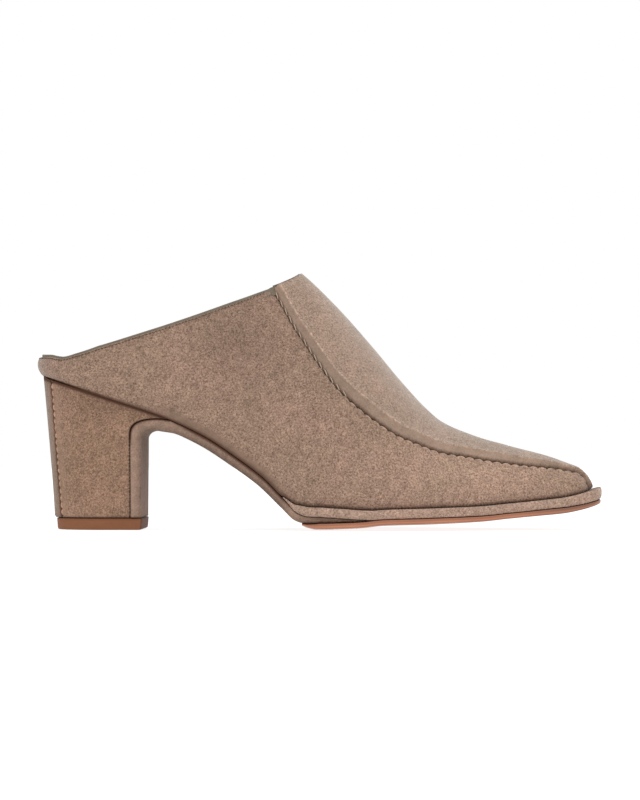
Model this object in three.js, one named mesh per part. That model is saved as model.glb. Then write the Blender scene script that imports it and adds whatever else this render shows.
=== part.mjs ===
// A leather mule for the right foot: a pointed, snipped toe, a raised strip down the middle of the
// vamp, a low rim round the heel and a covered block heel. Millimetres, +Z up, toe towards +X,
// the outer side of the foot towards -Y. It stands on the heel's top piece and on the tread.
import * as THREE from "three";
import { mergeVertices } from "three/addons/utils/BufferGeometryUtils.js";

// The shoe as a whole, measured level from the back of the rim.
const length = 246; // to the tip of the platform
const toeLedge = 4.2; // how far the platform stands out past the toe
const sideLedge = 2.4; // and past the sides
const ballWidth = 75; // the upper's width at the ball, where it meets the sole
const heelHeight = 66.6; // floor to heel seat, at the back
const throatHeight = 110.5; // floor to the upper's ridge at the throat
const throatReach = 114.5; // back of the rim to the throat
const stripEndPower = 2.3; // how the strip's end sweeps back from the throat to its seams
const rimHeight = 10.6; // heel seat to top line, at the back
const toeBox = 7.5; // the upper's height just behind the rounding of the toe
const toeSpring = 10.5; // how far the tip rises above the tread's edge
const treadBack = 121; // the tread lies flat from here
const treadFront = 126; // to here
const treadBow = 0.9; // the tread's edge stands this far above its middle

// Wall, layers and the gap that two pieces keep.
const wall = 1.8;
const panelEdge = 0.7; // the strip's thickness at its seam
const panelThick = 1.2; // and in the middle
const panelCrease = 1.8; // and along its pressed crease
const creaseInset = 4; // from seam to crease, over the surface
const insoleThick = 3.4;
const insoleEdge = 0.9; // rounding along the insole's top edge
const insoleShort = 8; // the insole ends this far from the toe
const insoleNose = 14; // over this length
const platformThick = 3.9;
const platformClear = 0.5; // the platform's top lies this far under the upper
const coverThick = 4.2;
const coverPower = 3; // how late the cover thins out towards its front end
const coverEdge = 1.3; // rounding along the cover's lower edge
const outsoleThick = 2.1;
const toeThicker = 0.7; // and that much more at its tip
const thickerFrom = 205;
const outsoleInset = 0.5; // the outsole's tip and lower edge stand in under the platform
const topPieceThick = 5;
const layerLeast = 0.35; // thickness at which a layer ends
const gap = 0.3;

// The block heel and the cover that runs under the waist and down its front.
const heelBaseWidth = 43;
const heelBaseBack = 8; // the heel's foot, from the back of the rim
const heelSeatBack = 2.9; // and its top
const breastAt = 46.8; // the front face of the heel, cover included
const breastCover = 4.6;
const noseAt = 59; // the heel's side runs out here, between seat and cover
const noseFrom = 0.72; // share of the heel's height at which that begins
const nosePower = 2.8; // how squarely the cover turns there
const noseAhead = 3; // the cover's lower line runs this far ahead of its upper one there
const breastRound = 4.2; // length of the cover's inside corner
const noseFill = 2.6; // the cover is this much thicker in that corner
const noseFillFrom = 48; // which fades out from here
const noseFillLength = 16;
const heelBackRound = 23; // length of the rounding at the heel's back, in plan
const heelBackPower = 2.2;
const heelBackCurve = 1.2; // above 1, the heel's back bows in
const heelInset = 1.2; // heel and cover stand in under the upper
const topPieceInset = 0.8;
const edgeRound = 1.2;

// Where each layer of the sole runs out, and over what length.
const platformBack = 104.5;
const platformRamp = 12;
const coverTaper = 54;
const coverFront = 146;
const coverTail = 4; // the cover's last stretch is too thin to make
const outsoleBack = 111;
const outsoleRamp = 13;
const ledgeRamp = 22;
const ledgeLeast = 0.2;
const tipRound = 9; // length of the rounding at the platform's tip, in plan
const tipPower = 2.4;

const upperLength = length - toeLedge - gap - panelThick;
const heelRound = 29; // length of the rounding at the heel, in plan
const heelPlanPower = 2.15; // 2 is an ellipse, more is squarer
const rimBulge = 2.5; // how far the rim swells backwards
const rimLean = 0.9; // how much farther back its top is than its foot
const toeRound = 7.5; // length of the rounding at the toe, in plan
const toePlanPower = 2.5;
const toeDrop = 5.9; // and in side view

// The lowest line of the sole behind the tread, as shares of treadBack and of its height at the back.
const UNDERLINE = [
  { at: 0, height: 1 },
  { at: 0.22, height: 0.857 },
  { at: 0.4, height: 0.741 },
  { at: 0.45, height: 0.706 },
  { at: 0.5, height: 0.665 },
  { at: 0.6, height: 0.568 },
  { at: 0.7, height: 0.44 },
  { at: 0.8, height: 0.296 },
  { at: 0.88, height: 0.145 },
  { at: 0.93, height: 0.052 },
  { at: 0.97, height: 0.014 },
  { at: 1, height: 0 },
];

// The edge's rise from treadFront to the tip, as shares of that length and of toeSpring.
const SPRING = [
  { at: 0, rise: 0 },
  { at: 0.12, rise: 0.06 },
  { at: 0.2, rise: 0.152 },
  { at: 0.35, rise: 0.197 },
  { at: 0.55, rise: 0.282 },
  { at: 0.65, rise: 0.385 },
  { at: 0.75, rise: 0.48 },
  { at: 0.85, rise: 0.578 },
  { at: 0.93, rise: 0.757 },
  { at: 1, rise: 1 },
];

// The upper's plan where it meets the sole, along upperLength: half widths as shares of ballWidth.
// swell is how far a side stands out above that line and high the share of the height where it does;
// lean carries the ridge towards the inner side.
const PLAN = [
  { at: 0.12, outer: 0.349, inner: 0.349, outerSwell: 0.035, innerSwell: 0.035, high: 0.1, lean: 0 },
  { at: 0.248, outer: 0.338, inner: 0.318, outerSwell: 0.04, innerSwell: 0.06, high: 0.15, lean: 0.01 },
  { at: 0.372, outer: 0.345, inner: 0.272, outerSwell: 0.05, innerSwell: 0.12, high: 0.2, lean: 0.025 },
  { at: 0.476, outer: 0.412, inner: 0.325, outerSwell: 0.04, innerSwell: 0.08, high: 0.2, lean: 0.035 },
  { at: 0.57, outer: 0.49, inner: 0.435, outerSwell: 0.03, innerSwell: 0.045, high: 0.2, lean: 0.04 },
  { at: 0.65, outer: 0.478, inner: 0.482, outerSwell: 0.03, innerSwell: 0.035, high: 0.2, lean: 0.035 },
  { at: 0.744, outer: 0.405, inner: 0.43, outerSwell: 0.03, innerSwell: 0.03, high: 0.22, lean: 0.025 },
  { at: 0.848, outer: 0.293, inner: 0.31, outerSwell: 0.03, innerSwell: 0.03, high: 0.25, lean: 0.01 },
  { at: 0.93, outer: 0.205, inner: 0.212, outerSwell: 0.03, innerSwell: 0.03, high: 0.3, lean: 0 },
  { at: 1, outer: 0.132, inner: 0.132, outerSwell: 0.02, innerSwell: 0.02, high: 0.3, lean: 0 },
];

// The ridge of the last above the toe box, as shares of its rise at the throat; behind the throat
// it is the cone of the last. full is the power of the section's curve.
const RIDGE = [
  { at: 0, rise: 1.236, full: 2.4 },
  { at: 0.248, rise: 1.225, full: 2.3 },
  { at: 0.4, rise: 1.133, full: 2.1 },
  { at: 0.476, rise: 1, full: 2 },
  { at: 0.531, rise: 0.866, full: 2 },
  { at: 0.604, rise: 0.66, full: 2 },
  { at: 0.66, rise: 0.485, full: 2 },
  { at: 0.7, rise: 0.372, full: 2 },
  { at: 0.731, rise: 0.303, full: 2.05 },
  { at: 0.786, rise: 0.236, full: 2.1 },
  { at: 0.859, rise: 0.167, full: 2.2 },
  { at: 0.931, rise: 0.099, full: 2.25 },
  { at: 1, rise: 0, full: 2.3 },
];

// The top line in side view, as shares of throatReach and of the climb from rim to throat.
const TOP_LINE = [
  { at: 0, climb: -0.02 },
  { at: 0.045, climb: -0.036 },
  { at: 0.07, climb: -0.058 },
  { at: 0.1, climb: -0.074 },
  { at: 0.15, climb: -0.043 },
  { at: 0.2, climb: -0.006 },
  { at: 0.262, climb: 0.053 },
  { at: 0.4, climb: 0.203 },
  { at: 0.52, climb: 0.338 },
  { at: 0.742, climb: 0.612 },
  { at: 0.891, climb: 0.815 },
  { at: 1, climb: 0.98 },
];

// The seam between side and strip, as a share of the upper's height at each place.
const SEAM = [
  { at: 0.427, up: 0.844 },
  { at: 0.475, up: 0.729 },
  { at: 0.559, up: 0.584 },
  { at: 0.637, up: 0.557 },
  { at: 0.7, up: 0.62 },
  { at: 0.78, up: 0.705 },
  { at: 0.85, up: 0.73 },
  { at: 0.916, up: 0.78 },
  { at: 0.955, up: 0.85 },
  { at: 0.977, up: 0.874 },
  { at: 0.99, up: 0.82 },
  { at: 0.997, up: 0.4 },
  { at: 1, up: 0 },
];

// How fine the solids are.
const backSteps = 9;
const rearSteps = 12;
const stripSteps = 25;
const toeSteps = 7;
const sideCells = 7;

const sides = ["outer", "inner"];
const sideSign = { outer: -1, inner: 1 };

function lerp(a, b, t) {
  return a + (b - a) * t;
}

function ease(t) {
  const c = Math.min(1, Math.max(0, t));
  return c * c * (3 - 2 * c);
}

function steps(count) {
  return Array.from({ length: count + 1 }, (_, i) => i / count);
}

// A smooth curve through one column of a table that never overshoots its rows.
function column(table, name) {
  const x = table.map((row) => row.at);
  const y = table.map((row) => row[name]);
  const last = x.length - 1;
  const slope = x.slice(1).map((v, i) => (y[i + 1] - y[i]) / (v - x[i]));
  const tangent = x.map((_, i) => {
    if (i === 0) return slope[0];
    if (i === last) return slope[last - 1];
    const before = slope[i - 1];
    const after = slope[i];
    if (before * after <= 0) return 0;
    const h0 = x[i] - x[i - 1];
    const h1 = x[i + 1] - x[i];
    return (3 * (h0 + h1)) / ((2 * h1 + h0) / before + (h1 + 2 * h0) / after);
  });
  return (at) => {
    if (at <= x[0]) return y[0] + (at - x[0]) * tangent[0];
    if (at >= x[last]) return y[last];
    let i = 0;
    while (at > x[i + 1]) i += 1;
    const h = x[i + 1] - x[i];
    const t = (at - x[i]) / h;
    const rest = 1 - t;
    return (
      y[i] * (1 + 2 * t) * rest * rest +
      tangent[i] * h * t * rest * rest +
      y[i + 1] * t * t * (3 - 2 * t) -
      tangent[i + 1] * h * t * t * rest
    );
  };
}

const underShare = column(UNDERLINE, "height");
const springShare = column(SPRING, "rise");
const riseShare = column(RIDGE, "rise");
const fullness = column(RIDGE, "full");
const climbShare = column(TOP_LINE, "climb");
const seamUp = column(SEAM, "up");
const leanShare = column(PLAN, "lean");
const swellHigh = column(PLAN, "high");
const planShare = { outer: column(PLAN, "outer"), inner: column(PLAN, "inner") };
const swellShare = { outer: column(PLAN, "outerSwell"), inner: column(PLAN, "innerSwell") };

function slopeOf(curve, x) {
  return (curve(x + 0.05) - curve(x - 0.05)) / 0.1;
}

// Upright length through a layer of unit thickness that lies along a curve.
function upright(curve, x) {
  return Math.hypot(1, slopeOf(curve, x));
}

function spring(x) {
  const share = Math.max(0, (x - treadFront) / (length - treadFront));
  return toeSpring * springShare(share);
}

// The visible lower edge of the sole.
function underline(x) {
  const share = Math.max(0, x) / treadBack;
  const atBack = heelHeight - coverThick - gap - treadBow;
  return treadBow + (share < 1 ? atBack * underShare(share) : 0) + spring(x);
}

// The room each layer takes, its gap included; a layer runs out where its room does.
function outsoleRoom(x) {
  const tip = toeThicker * ease((x - thickerFrom) / (length - thickerFrom));
  return (outsoleThick + gap) * ease((x - outsoleBack) / outsoleRamp) + tip;
}

function coverRoom(x) {
  const share = Math.min(1, Math.max(0, (x - coverTaper) / (coverFront - coverTaper)));
  return (coverThick * upright(underline, x) + gap) * (1 - share ** coverPower);
}

function platformRoom(x) {
  return (platformThick + gap) * ease((x - platformBack) / platformRamp);
}

function coverUnder(x) {
  return underline(x) + outsoleRoom(x);
}

function platformUnder(x) {
  return coverUnder(x) + coverRoom(x);
}

// The line on which upper and insole stand.
function seat(x) {
  return platformUnder(x) + platformRoom(x);
}

function crown(x) {
  const foot = seat(Math.max(x, treadBack)) + toeBox;
  return foot + (throatHeight - foot) * riseShare(x / upperLength);
}

function topLine(x) {
  const rim = heelHeight + rimHeight;
  return rim + (crown(throatReach) - rim) * climbShare(x / throatReach);
}

function rounding(share, power) {
  return (1 - Math.min(1, Math.max(0, share)) ** power) ** (1 / power);
}

// Half width and height of the upper at x, for a skin that lies offset outside the last's.
function halfWidth(x, side, offset) {
  const plain = (at) => planShare[side](at / upperLength) * ballWidth;
  const from = upperLength - toeRound;
  const cap = rounding((x - from) / (toeRound + offset), toePlanPower);
  return (plain(x) + offset * upright(plain, x)) * cap;
}

function height(x, offset) {
  const from = upperLength - toeDrop;
  const cap = rounding((x - from) / (toeDrop + offset), 2);
  return (crown(x) - seat(x) + offset * Math.min(1.5, upright(crown, x))) * cap;
}

// How far out the side stands at a share of the height, as a share of the half width.
function reach(x, side, up) {
  const power = fullness(x / upperLength);
  const bump = up / swellHigh(x / upperLength);
  const swell = swellShare[side](x / upperLength) * bump * Math.exp(1 - bump);
  return rounding(up, power) * (1 + swell);
}

// Stations past the start of the toe's rounding move with the skin, so skins keep in step.
function stretch(x, offset) {
  const from = upperLength - toeRound;
  return x <= from ? x : from + ((x - from) * (toeRound + offset)) / toeRound;
}

// A point of the skin from the heel's rounding to the toe.
function skinPoint(station, side, up, offset) {
  const x = stretch(station, offset);
  const out = halfWidth(x, side, offset) * reach(x, side, up);
  const lean = leanShare(x / upperLength) * ballWidth * up;
  return new THREE.Vector3(x, sideSign[side] * out + lean, seat(x) + height(x, offset) * up);
}

// The same round the back, where turn goes from 0 straight behind to 1 at the heel's side.
function backPoint(turn, side, up, offset) {
  const back = Math.cos((turn * Math.PI) / 2) ** (2 / heelPlanPower);
  const out = Math.sin((turn * Math.PI) / 2) ** (2 / heelPlanPower);
  const nominal = heelRound * (1 - back);
  const rise = height(nominal, offset) * up;
  const share = rise / rimHeight;
  const bulge = 4 * rimBulge * share * (1 - share) + rimLean * share;
  const foot = heelRound - (heelRound - rimBulge - rimLean / 2 + offset) * back;
  const x = foot - bulge * back ** 3;
  const edge = skinPoint(heelRound, side, up, offset);
  return new THREE.Vector3(x, edge.y * out, seat(foot) + rise);
}

function collarUp(x) {
  return (topLine(x) - seat(x)) / height(x, 0);
}

const seamStart = SEAM[0].at * upperLength;

function foreStation(share) {
  const before = stripSteps / (stripSteps + toeSteps);
  const from = upperLength - toeRound;
  if (share <= before) return lerp(seamStart, from, share / before);
  const turn = (share - before) / (1 - before);
  return from + toeRound * Math.sin((turn * Math.PI) / 2);
}

// Rows across the strip, as distances from the seam over the surface.
function stripRows(total) {
  const scale = Math.min(1, total / (3 * creaseInset));
  const inset = creaseInset * scale;
  const rest = total - inset * 1.7;
  return [0, inset * 0.4, inset, inset * 1.7, inset * 1.7 + rest * 0.36, inset * 1.7 + rest * 0.7, total];
}

// Across from the seam to the ridge at one station: where each row of the strip lies.
function stripShares(station, side) {
  const start = seamUp(station / upperLength);
  const from = Math.acos(rounding(start, 2));
  const fine = steps(40).map((t) => Math.sin(lerp(from, Math.PI / 2, t)));
  const points = fine.map((up) => skinPoint(station, side, up, 0));
  const run = [0];
  points.slice(1).forEach((p, i) => run.push(run[i] + p.distanceTo(points[i])));
  const total = run[run.length - 1];
  return stripRows(total).map((at) => {
    let i = 0;
    while (i < run.length - 2 && run[i + 1] < at) i += 1;
    const t = total > 1e-6 ? (at - run[i]) / Math.max(1e-9, run[i + 1] - run[i]) : 1;
    return { up: lerp(fine[i], fine[i + 1], Math.min(1, t)), left: total > 1e-6 ? 1 - at / total : 1, at };
  });
}

// The whole skin as grids of points: round the back, along the side, and across the strip.
// lift gives the offset of each row of the strip.
function skin(offset, lift) {
  const grids = { rear: {}, fore: {}, strip: {} };
  for (const side of sides) {
    const cells = steps(sideCells);
    const rear = steps(backSteps).map((turn) =>
      cells.map((cell) => {
        const back = Math.cos((turn * Math.PI) / 2) ** (2 / heelPlanPower);
        return backPoint(turn, side, collarUp(heelRound * (1 - back)) * cell, offset);
      }),
    );
    for (const t of steps(rearSteps).slice(1, -1)) {
      const x = lerp(heelRound, seamStart, t);
      rear.push(cells.map((cell) => skinPoint(x, side, collarUp(x) * cell, offset)));
    }
    const fore = [];
    const strip = [];
    for (const t of steps(stripSteps + toeSteps)) {
      const station = foreStation(t);
      const top = seamUp(station / upperLength);
      fore.push(cells.map((cell) => skinPoint(station, side, top * cell, offset)));
      const share = (station - seamStart) / (upperLength - seamStart);
      strip.push(
        stripShares(station, side).map((row, i) => {
          const back = lerp(throatReach, seamStart, row.left ** stripEndPower);
          return skinPoint(lerp(back, upperLength, share), side, row.up, lift ? lift[i] : offset);
        }),
      );
    }
    rear.push(fore[0]);
    grids.rear[side] = rear;
    grids.fore[side] = fore;
    grids.strip[side] = strip;
  }
  return grids;
}

// Triangles of a grid of points; flip turns its face round.
function sheet(grid, flip) {
  const faces = [];
  for (let i = 0; i + 1 < grid.length; i += 1) {
    for (let j = 0; j + 1 < grid[i].length; j += 1) {
      const [a, b, c, d] = [grid[i][j], grid[i + 1][j], grid[i + 1][j + 1], grid[i][j + 1]];
      for (const face of [[a, b, c], [a, c, d]]) faces.push(flip ? [face[0], face[2], face[1]] : face);
    }
  }
  return faces;
}

function mesh(name, faces, colour) {
  const soup = new THREE.BufferGeometry();
  const numbers = faces.flat().flatMap((p) => p.toArray());
  soup.setAttribute("position", new THREE.Float32BufferAttribute(numbers, 3));
  const joined = mergeVertices(soup, 1e-3);
  const index = joined.getIndex().array;
  const kept = [];
  for (let i = 0; i < index.length; i += 3) {
    const [a, b, c] = index.slice(i, i + 3);
    if (a !== b && b !== c && c !== a) kept.push(a, b, c);
  }
  joined.setIndex(kept);
  joined.computeVertexNormals();
  const made = new THREE.Mesh(joined, new THREE.MeshStandardMaterial({ color: colour, roughness: 0.85 }));
  made.name = name;
  return made;
}

// The hollow upper: an outer and an inner skin, joined along the top line and along the sole.
function upperFaces() {
  const out = skin(0);
  const inn = skin(-wall);
  const faces = [];
  for (const side of sides) {
    const flip = side === "inner";
    for (const part of ["rear", "fore", "strip"]) {
      faces.push(...sheet(out[part][side], flip), ...sheet(inn[part][side], !flip));
    }
    const collar = (grids) => [
      ...grids.rear[side].map((col) => col[sideCells]),
      ...grids.strip[side][0].slice(1),
    ];
    const feather = (grids) => [
      ...grids.rear[side].map((col) => col[0]),
      ...grids.fore[side].slice(1).map((col) => col[0]),
    ];
    const top = [collar(out), collar(inn)];
    const foot = [feather(out), feather(inn)];
    const across = (pair) => pair[0].map((p, i) => [p, pair[1][i]]);
    faces.push(...sheet(across(top), flip), ...sheet(across(foot), !flip));
  }
  return faces;
}

// The strip down the middle of the vamp.
function panelFaces() {
  const rows = [panelEdge, panelEdge + 0.45, panelCrease, panelThick, panelThick, panelThick, panelThick];
  const out = skin(0, rows.map((thick) => gap + thick));
  const under = skin(0, rows.map(() => gap));
  const faces = [];
  for (const side of sides) {
    const flip = side === "inner";
    faces.push(...sheet(out.strip[side], flip), ...sheet(under.strip[side], !flip));
    const seam = out.strip[side].map((row, i) => [row[0], under.strip[side][i][0]]);
    const throat = out.strip[side][0].map((p, i) => [p, under.strip[side][0][i]]);
    faces.push(...sheet(seam, !flip), ...sheet(throat, flip));
  }
  return faces;
}

// A plate between two ends. Each line is a pair of edges, outer and inner, from bottom to top;
// the outer and inner points of a station face each other, so the flats are ruled across.
function plateFaces(lines) {
  const faces = [];
  for (const side of sides) {
    const flip = side === "inner";
    const stations = lines[0][side].length;
    const grid = Array.from({ length: stations }, (_, i) => lines.map((line) => line[side][i]));
    faces.push(...sheet(grid, flip));
  }
  const across = (line) => line.outer.map((p, i) => [p, line.inner[i]]);
  faces.push(...sheet(across(lines[lines.length - 1]), false), ...sheet(across(lines[0]), true));
  for (const end of [0, lines[0].outer.length - 1]) {
    const rows = lines.map((line) => [line.outer[end], line.inner[end]]);
    faces.push(...sheet(rows, end !== 0));
  }
  return faces;
}

// The insole lies inside the wall and stops short of the toe.
function insoleFaces() {
  const offset = -wall - 2 * gap;
  const end = upperLength - insoleShort;
  const line = (rise, inset) => {
    const edges = {};
    for (const side of sides) {
      const back = steps(8).map((turn) => {
        const p = backPoint(turn, side, rise / height(heelRound * turn, 0), offset - inset);
        return new THREE.Vector3(p.x, p.y, seat(p.x) + rise);
      });
      const front = steps(44).slice(1).map((t) => {
        const x = heelRound + (end - inset - heelRound) * Math.sin((t * Math.PI) / 2) ** 0.9;
        const p = skinPoint(x, side, Math.min(0.9, rise / height(x, 0)), offset - inset);
        const cap = rounding((x - end + insoleNose) / (insoleNose - inset), toePlanPower);
        return new THREE.Vector3(x, p.y * cap, seat(x) + rise);
      });
      edges[side] = [...back, ...front];
    }
    return edges;
  };
  return plateFaces([line(0, 0), line(insoleThick - insoleEdge, 0), line(insoleThick, insoleEdge)]);
}

// Half width of a layer of the sole, inset from the platform's edge and rounded off at its tip.
function layerHalf(x, side, tip, inset) {
  const ledge = lerp(ledgeLeast, sideLedge, ease((x - platformBack) / ledgeRamp));
  const plan = planShare[side](Math.min(1, x / upperLength)) * ballWidth;
  return (plan + ledge - inset) * rounding((x - tip + tipRound) / (tipRound - inset), tipPower);
}

// One line round a layer. Most stations lie evenly, and the last ones close up towards the tip;
// narrow brings the line in towards the middle.
function layerPlan(from, tip, inset, heights, narrow = 1) {
  const evenUntil = 0.7;
  const evenShare = 0.86;
  const edges = { outer: [], inner: [] };
  for (const t of steps(44)) {
    const rest = Math.sin((Math.max(0, t - evenUntil) / (1 - evenUntil)) * (Math.PI / 2));
    const bend = Math.min(1, t / evenUntil) * evenShare + (1 - evenShare) * rest;
    const x = lerp(from, tip - inset, bend);
    for (const side of sides) {
      const half = layerHalf(x, side, tip, inset);
      edges[side].push(new THREE.Vector3(x, sideSign[side] * half * narrow, heights(x, half)));
    }
  }
  return edges;
}

function firstAt(room) {
  let x = 90;
  while (room(x) < gap + layerLeast) x += 0.1;
  return x;
}

// The edge of a folded strip, as shares of its thickness and of edgeRound.
const PLATFORM_EDGE = [
  { up: 0, inset: 1 },
  { up: 0.12, inset: 0.3 },
  { up: 0.35, inset: 0 },
  { up: 0.7, inset: 0 },
  { up: 0.9, inset: 0.33 },
  { up: 1, inset: 1 },
];

function platformFaces() {
  const from = firstAt(platformRoom);
  const top = (x) => seat(x) - platformClear;
  return plateFaces(
    PLATFORM_EDGE.map(({ up, inset }) => {
      const heights = (x) => lerp(platformUnder(x), top(x), up);
      return layerPlan(from, length, inset * edgeRound, heights);
    }),
  );
}

// The outsole's underside bows down from its edge to a flat middle, less where it is narrow.
function outsoleFaces() {
  const from = firstAt(outsoleRoom);
  const tip = length - outsoleInset;
  const flat = 0.35;
  const fullFrom = 0.45 * ballWidth;
  const under = [flat, 0.7, 1].map((narrow) => {
    const down = treadBow * (1 - ((narrow - flat) / (1 - flat)) ** 2);
    const heights = (x, half) => underline(x) - down * Math.min(1, half / fullFrom) ** 2;
    return layerPlan(from, tip, outsoleInset, heights, narrow);
  });
  const edge = [0.25, 1].map((up) => {
    return layerPlan(from, tip, 0, (x) => lerp(underline(x), coverUnder(x) - gap, up));
  });
  return plateFaces([...under, ...edge]);
}

// Half width of heel and cover under the upper: at x, and at a share of the heel's height. It
// widens from the base and is full just below the seat.
function heelHalf(x, side, share) {
  const fullAt = 0.92;
  const seatHalf = planShare[side](Math.max(heelRound, x) / upperLength) * ballWidth - heelInset;
  return lerp(heelBaseWidth / 2, seatHalf, ease(share / fullAt) ** 0.8);
}

const heelFoot = topPieceThick + gap;

// Shares of the heel's height at which heel and cover have a row of points round the corner.
const noseLevels = steps(10).map((t) => lerp(noseFrom, 1, Math.sin((t * Math.PI) / 2) ** 0.8));

// The line between heel and cover in side view, from the floor up to the nose.
function heelFront(share, shift) {
  const past = Math.max(0, (share - noseFrom) / (1 - noseFrom));
  const forward = noseAt - breastAt + breastCover;
  const x = breastAt - breastCover + forward * past ** nosePower;
  const rise = seat(x) - gap - heelFoot;
  const steep = (nosePower * past ** (nosePower - 1)) / (1 - noseFrom);
  const slope = past > 0 ? (steep * forward) / rise : 0;
  const away = Math.hypot(1, slope);
  return new THREE.Vector2(x + shift / away, heelFoot + rise * share - (shift * slope) / away);
}

// A D in plan from straight behind to the front edge: t up to 1 goes round the back.
function backRound(t) {
  const bow = 1 - Math.sqrt(1 - t * t) ** (2 / heelBackPower);
  return { bow, out: t ** (2 / heelBackPower) };
}

function heelFaces() {
  const levels = [0, 0.15, 0.3, 0.45, 0.6, ...noseLevels];
  const ring = levels.map((share) => {
    const front = heelFront(share, -gap).x;
    const backAt = lerp(heelBaseBack, heelSeatBack, share ** heelBackCurve);
    const half = { outer: [], inner: [] };
    for (const side of sides) {
      const place = (x, out) => {
        const y = sideSign[side] * heelHalf(x, side, share) * out;
        half[side].push(new THREE.Vector3(x, y, lerp(heelFoot, seat(x) - gap, share)));
      };
      for (const t of steps(7)) {
        const { bow, out } = backRound(Math.sin((t * Math.PI) / 2));
        place(backAt + heelBackRound * bow, out);
      }
      for (const t of [0.3, 0.6, 0.85, 1]) place(lerp(backAt + heelBackRound, front, t), 1);
    }
    return half;
  });
  return plateFaces(ring);
}

function topPieceFaces() {
  const bevel = 0.4;
  const levels = [
    { z: 0, inset: topPieceInset + bevel },
    { z: bevel, inset: topPieceInset },
    { z: topPieceThick, inset: topPieceInset - bevel },
  ];
  const ring = levels.map(({ z, inset }) => {
    const half = { outer: [], inner: [] };
    const widest = heelBaseWidth / 2 - inset;
    for (const side of sides) {
      for (const t of steps(8)) {
        const { bow, out } = backRound(Math.sin((t * Math.PI) / 2));
        const x = heelBaseBack + inset + (heelBackRound - inset) * bow;
        half[side].push(new THREE.Vector3(x, sideSign[side] * widest * out, z));
      }
      half[side].push(new THREE.Vector3(breastAt + topPieceInset - inset, sideSign[side] * widest, z));
    }
    return half;
  });
  return plateFaces(ring);
}

// The cover's face under the waist, filled out in the corner at the heel.
function coverLow(x) {
  return coverUnder(x) - noseFill * (1 - ease((x - noseFillFrom) / noseFillLength));
}

// The cover's stations, as pairs of points in side view, one on its back and one on its face:
// down the heel's front, round the corner, then on under the waist.
function coverStations() {
  const stations = [];
  const add = (back, x, z) => stations.push({ back, face: new THREE.Vector2(x, z) });
  for (const share of [0, 0.25, 0.5, noseFrom]) {
    const back = heelFront(share, 0);
    add(back, breastAt, back.y);
  }
  const from = heelFront(noseFrom, 0).y;
  const landing = breastAt + breastRound;
  const ahead = noseAt + noseAhead;
  const roundUntil = 2 / 3;
  noseLevels.slice(1).forEach((share, i, rows) => {
    const back = heelFront(share, 0);
    const t = (i + 1) / rows.length;
    const angle = (t / roundUntil) * (Math.PI / 2);
    if (t <= roundUntil) {
      const x = lerp(breastAt, landing, 1 - Math.cos(angle));
      add(back, x, lerp(from, coverLow(landing), Math.sin(angle)));
    } else {
      const x = lerp(landing, ahead, (t - roundUntil) / (1 - roundUntil));
      add(back, x, coverLow(x));
    }
  });
  const end = coverFront - coverTail;
  for (const t of steps(38).slice(1)) {
    const x = lerp(noseAt, end, t);
    const under = lerp(ahead, end, t);
    add(new THREE.Vector2(x, platformUnder(x) - gap), under, coverLow(under));
  }
  return stations;
}

// The cover's edge, from its face to its back, as shares of its thickness and of coverEdge.
const COVER_EDGE = [
  { toFace: 1, inset: 1 },
  { toFace: 0.8, inset: 0.25 },
  { toFace: 0.55, inset: 0 },
  { toFace: 0, inset: 0 },
];

function coverFaces() {
  const stations = coverStations();
  return plateFaces(
    COVER_EDGE.map(({ toFace, inset }) => {
      const edges = { outer: [], inner: [] };
      for (const { back, face } of stations) {
        const p = back.clone().lerp(face, toFace);
        const share = Math.min(1, (p.y - heelFoot) / (seat(p.x) - gap - heelFoot));
        for (const side of sides) {
          const half = heelHalf(p.x, side, p.x > noseAt ? 1 : share) - inset * coverEdge;
          edges[side].push(new THREE.Vector3(p.x, sideSign[side] * half, p.y));
        }
      }
      return edges;
    }),
  );
}

const suede = "#9c8371";
const shoe = new THREE.Group();
shoe.name = "mule";
shoe.add(
  mesh("upper", upperFaces(), suede),
  mesh("centre_panel", panelFaces(), "#a89080"),
  mesh("insole", insoleFaces(), "#b39a84"),
  mesh("platform", platformFaces(), suede),
  mesh("waist_cover", coverFaces(), suede),
  mesh("outsole", outsoleFaces(), "#85543d"),
  mesh("heel", heelFaces(), suede),
  mesh("top_piece", topPieceFaces(), "#7d5540"),
);

// The frame's origin is the bottom centre of the whole shoe.
const bounds = new THREE.Box3().setFromObject(shoe);
const middle = bounds.getCenter(new THREE.Vector3());
shoe.position.set(-middle.x, -middle.y, -bounds.min.z);

export default shoe;
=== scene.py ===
# %% [markdown]
# # A suede mule, dressed piece by piece
# The shoe's plain solids are already made and stand in a fixed frame. This lesson puts the real
# surfaces round them: suede drawn over a last, the pinched seam on the vamp, linings, covered heel
# and waist, and the leather sole. Nearly every surface is a function of two parameters, worked out
# with numpy on a grid, so a change of one size moves everything that depends on it.

import math

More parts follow.
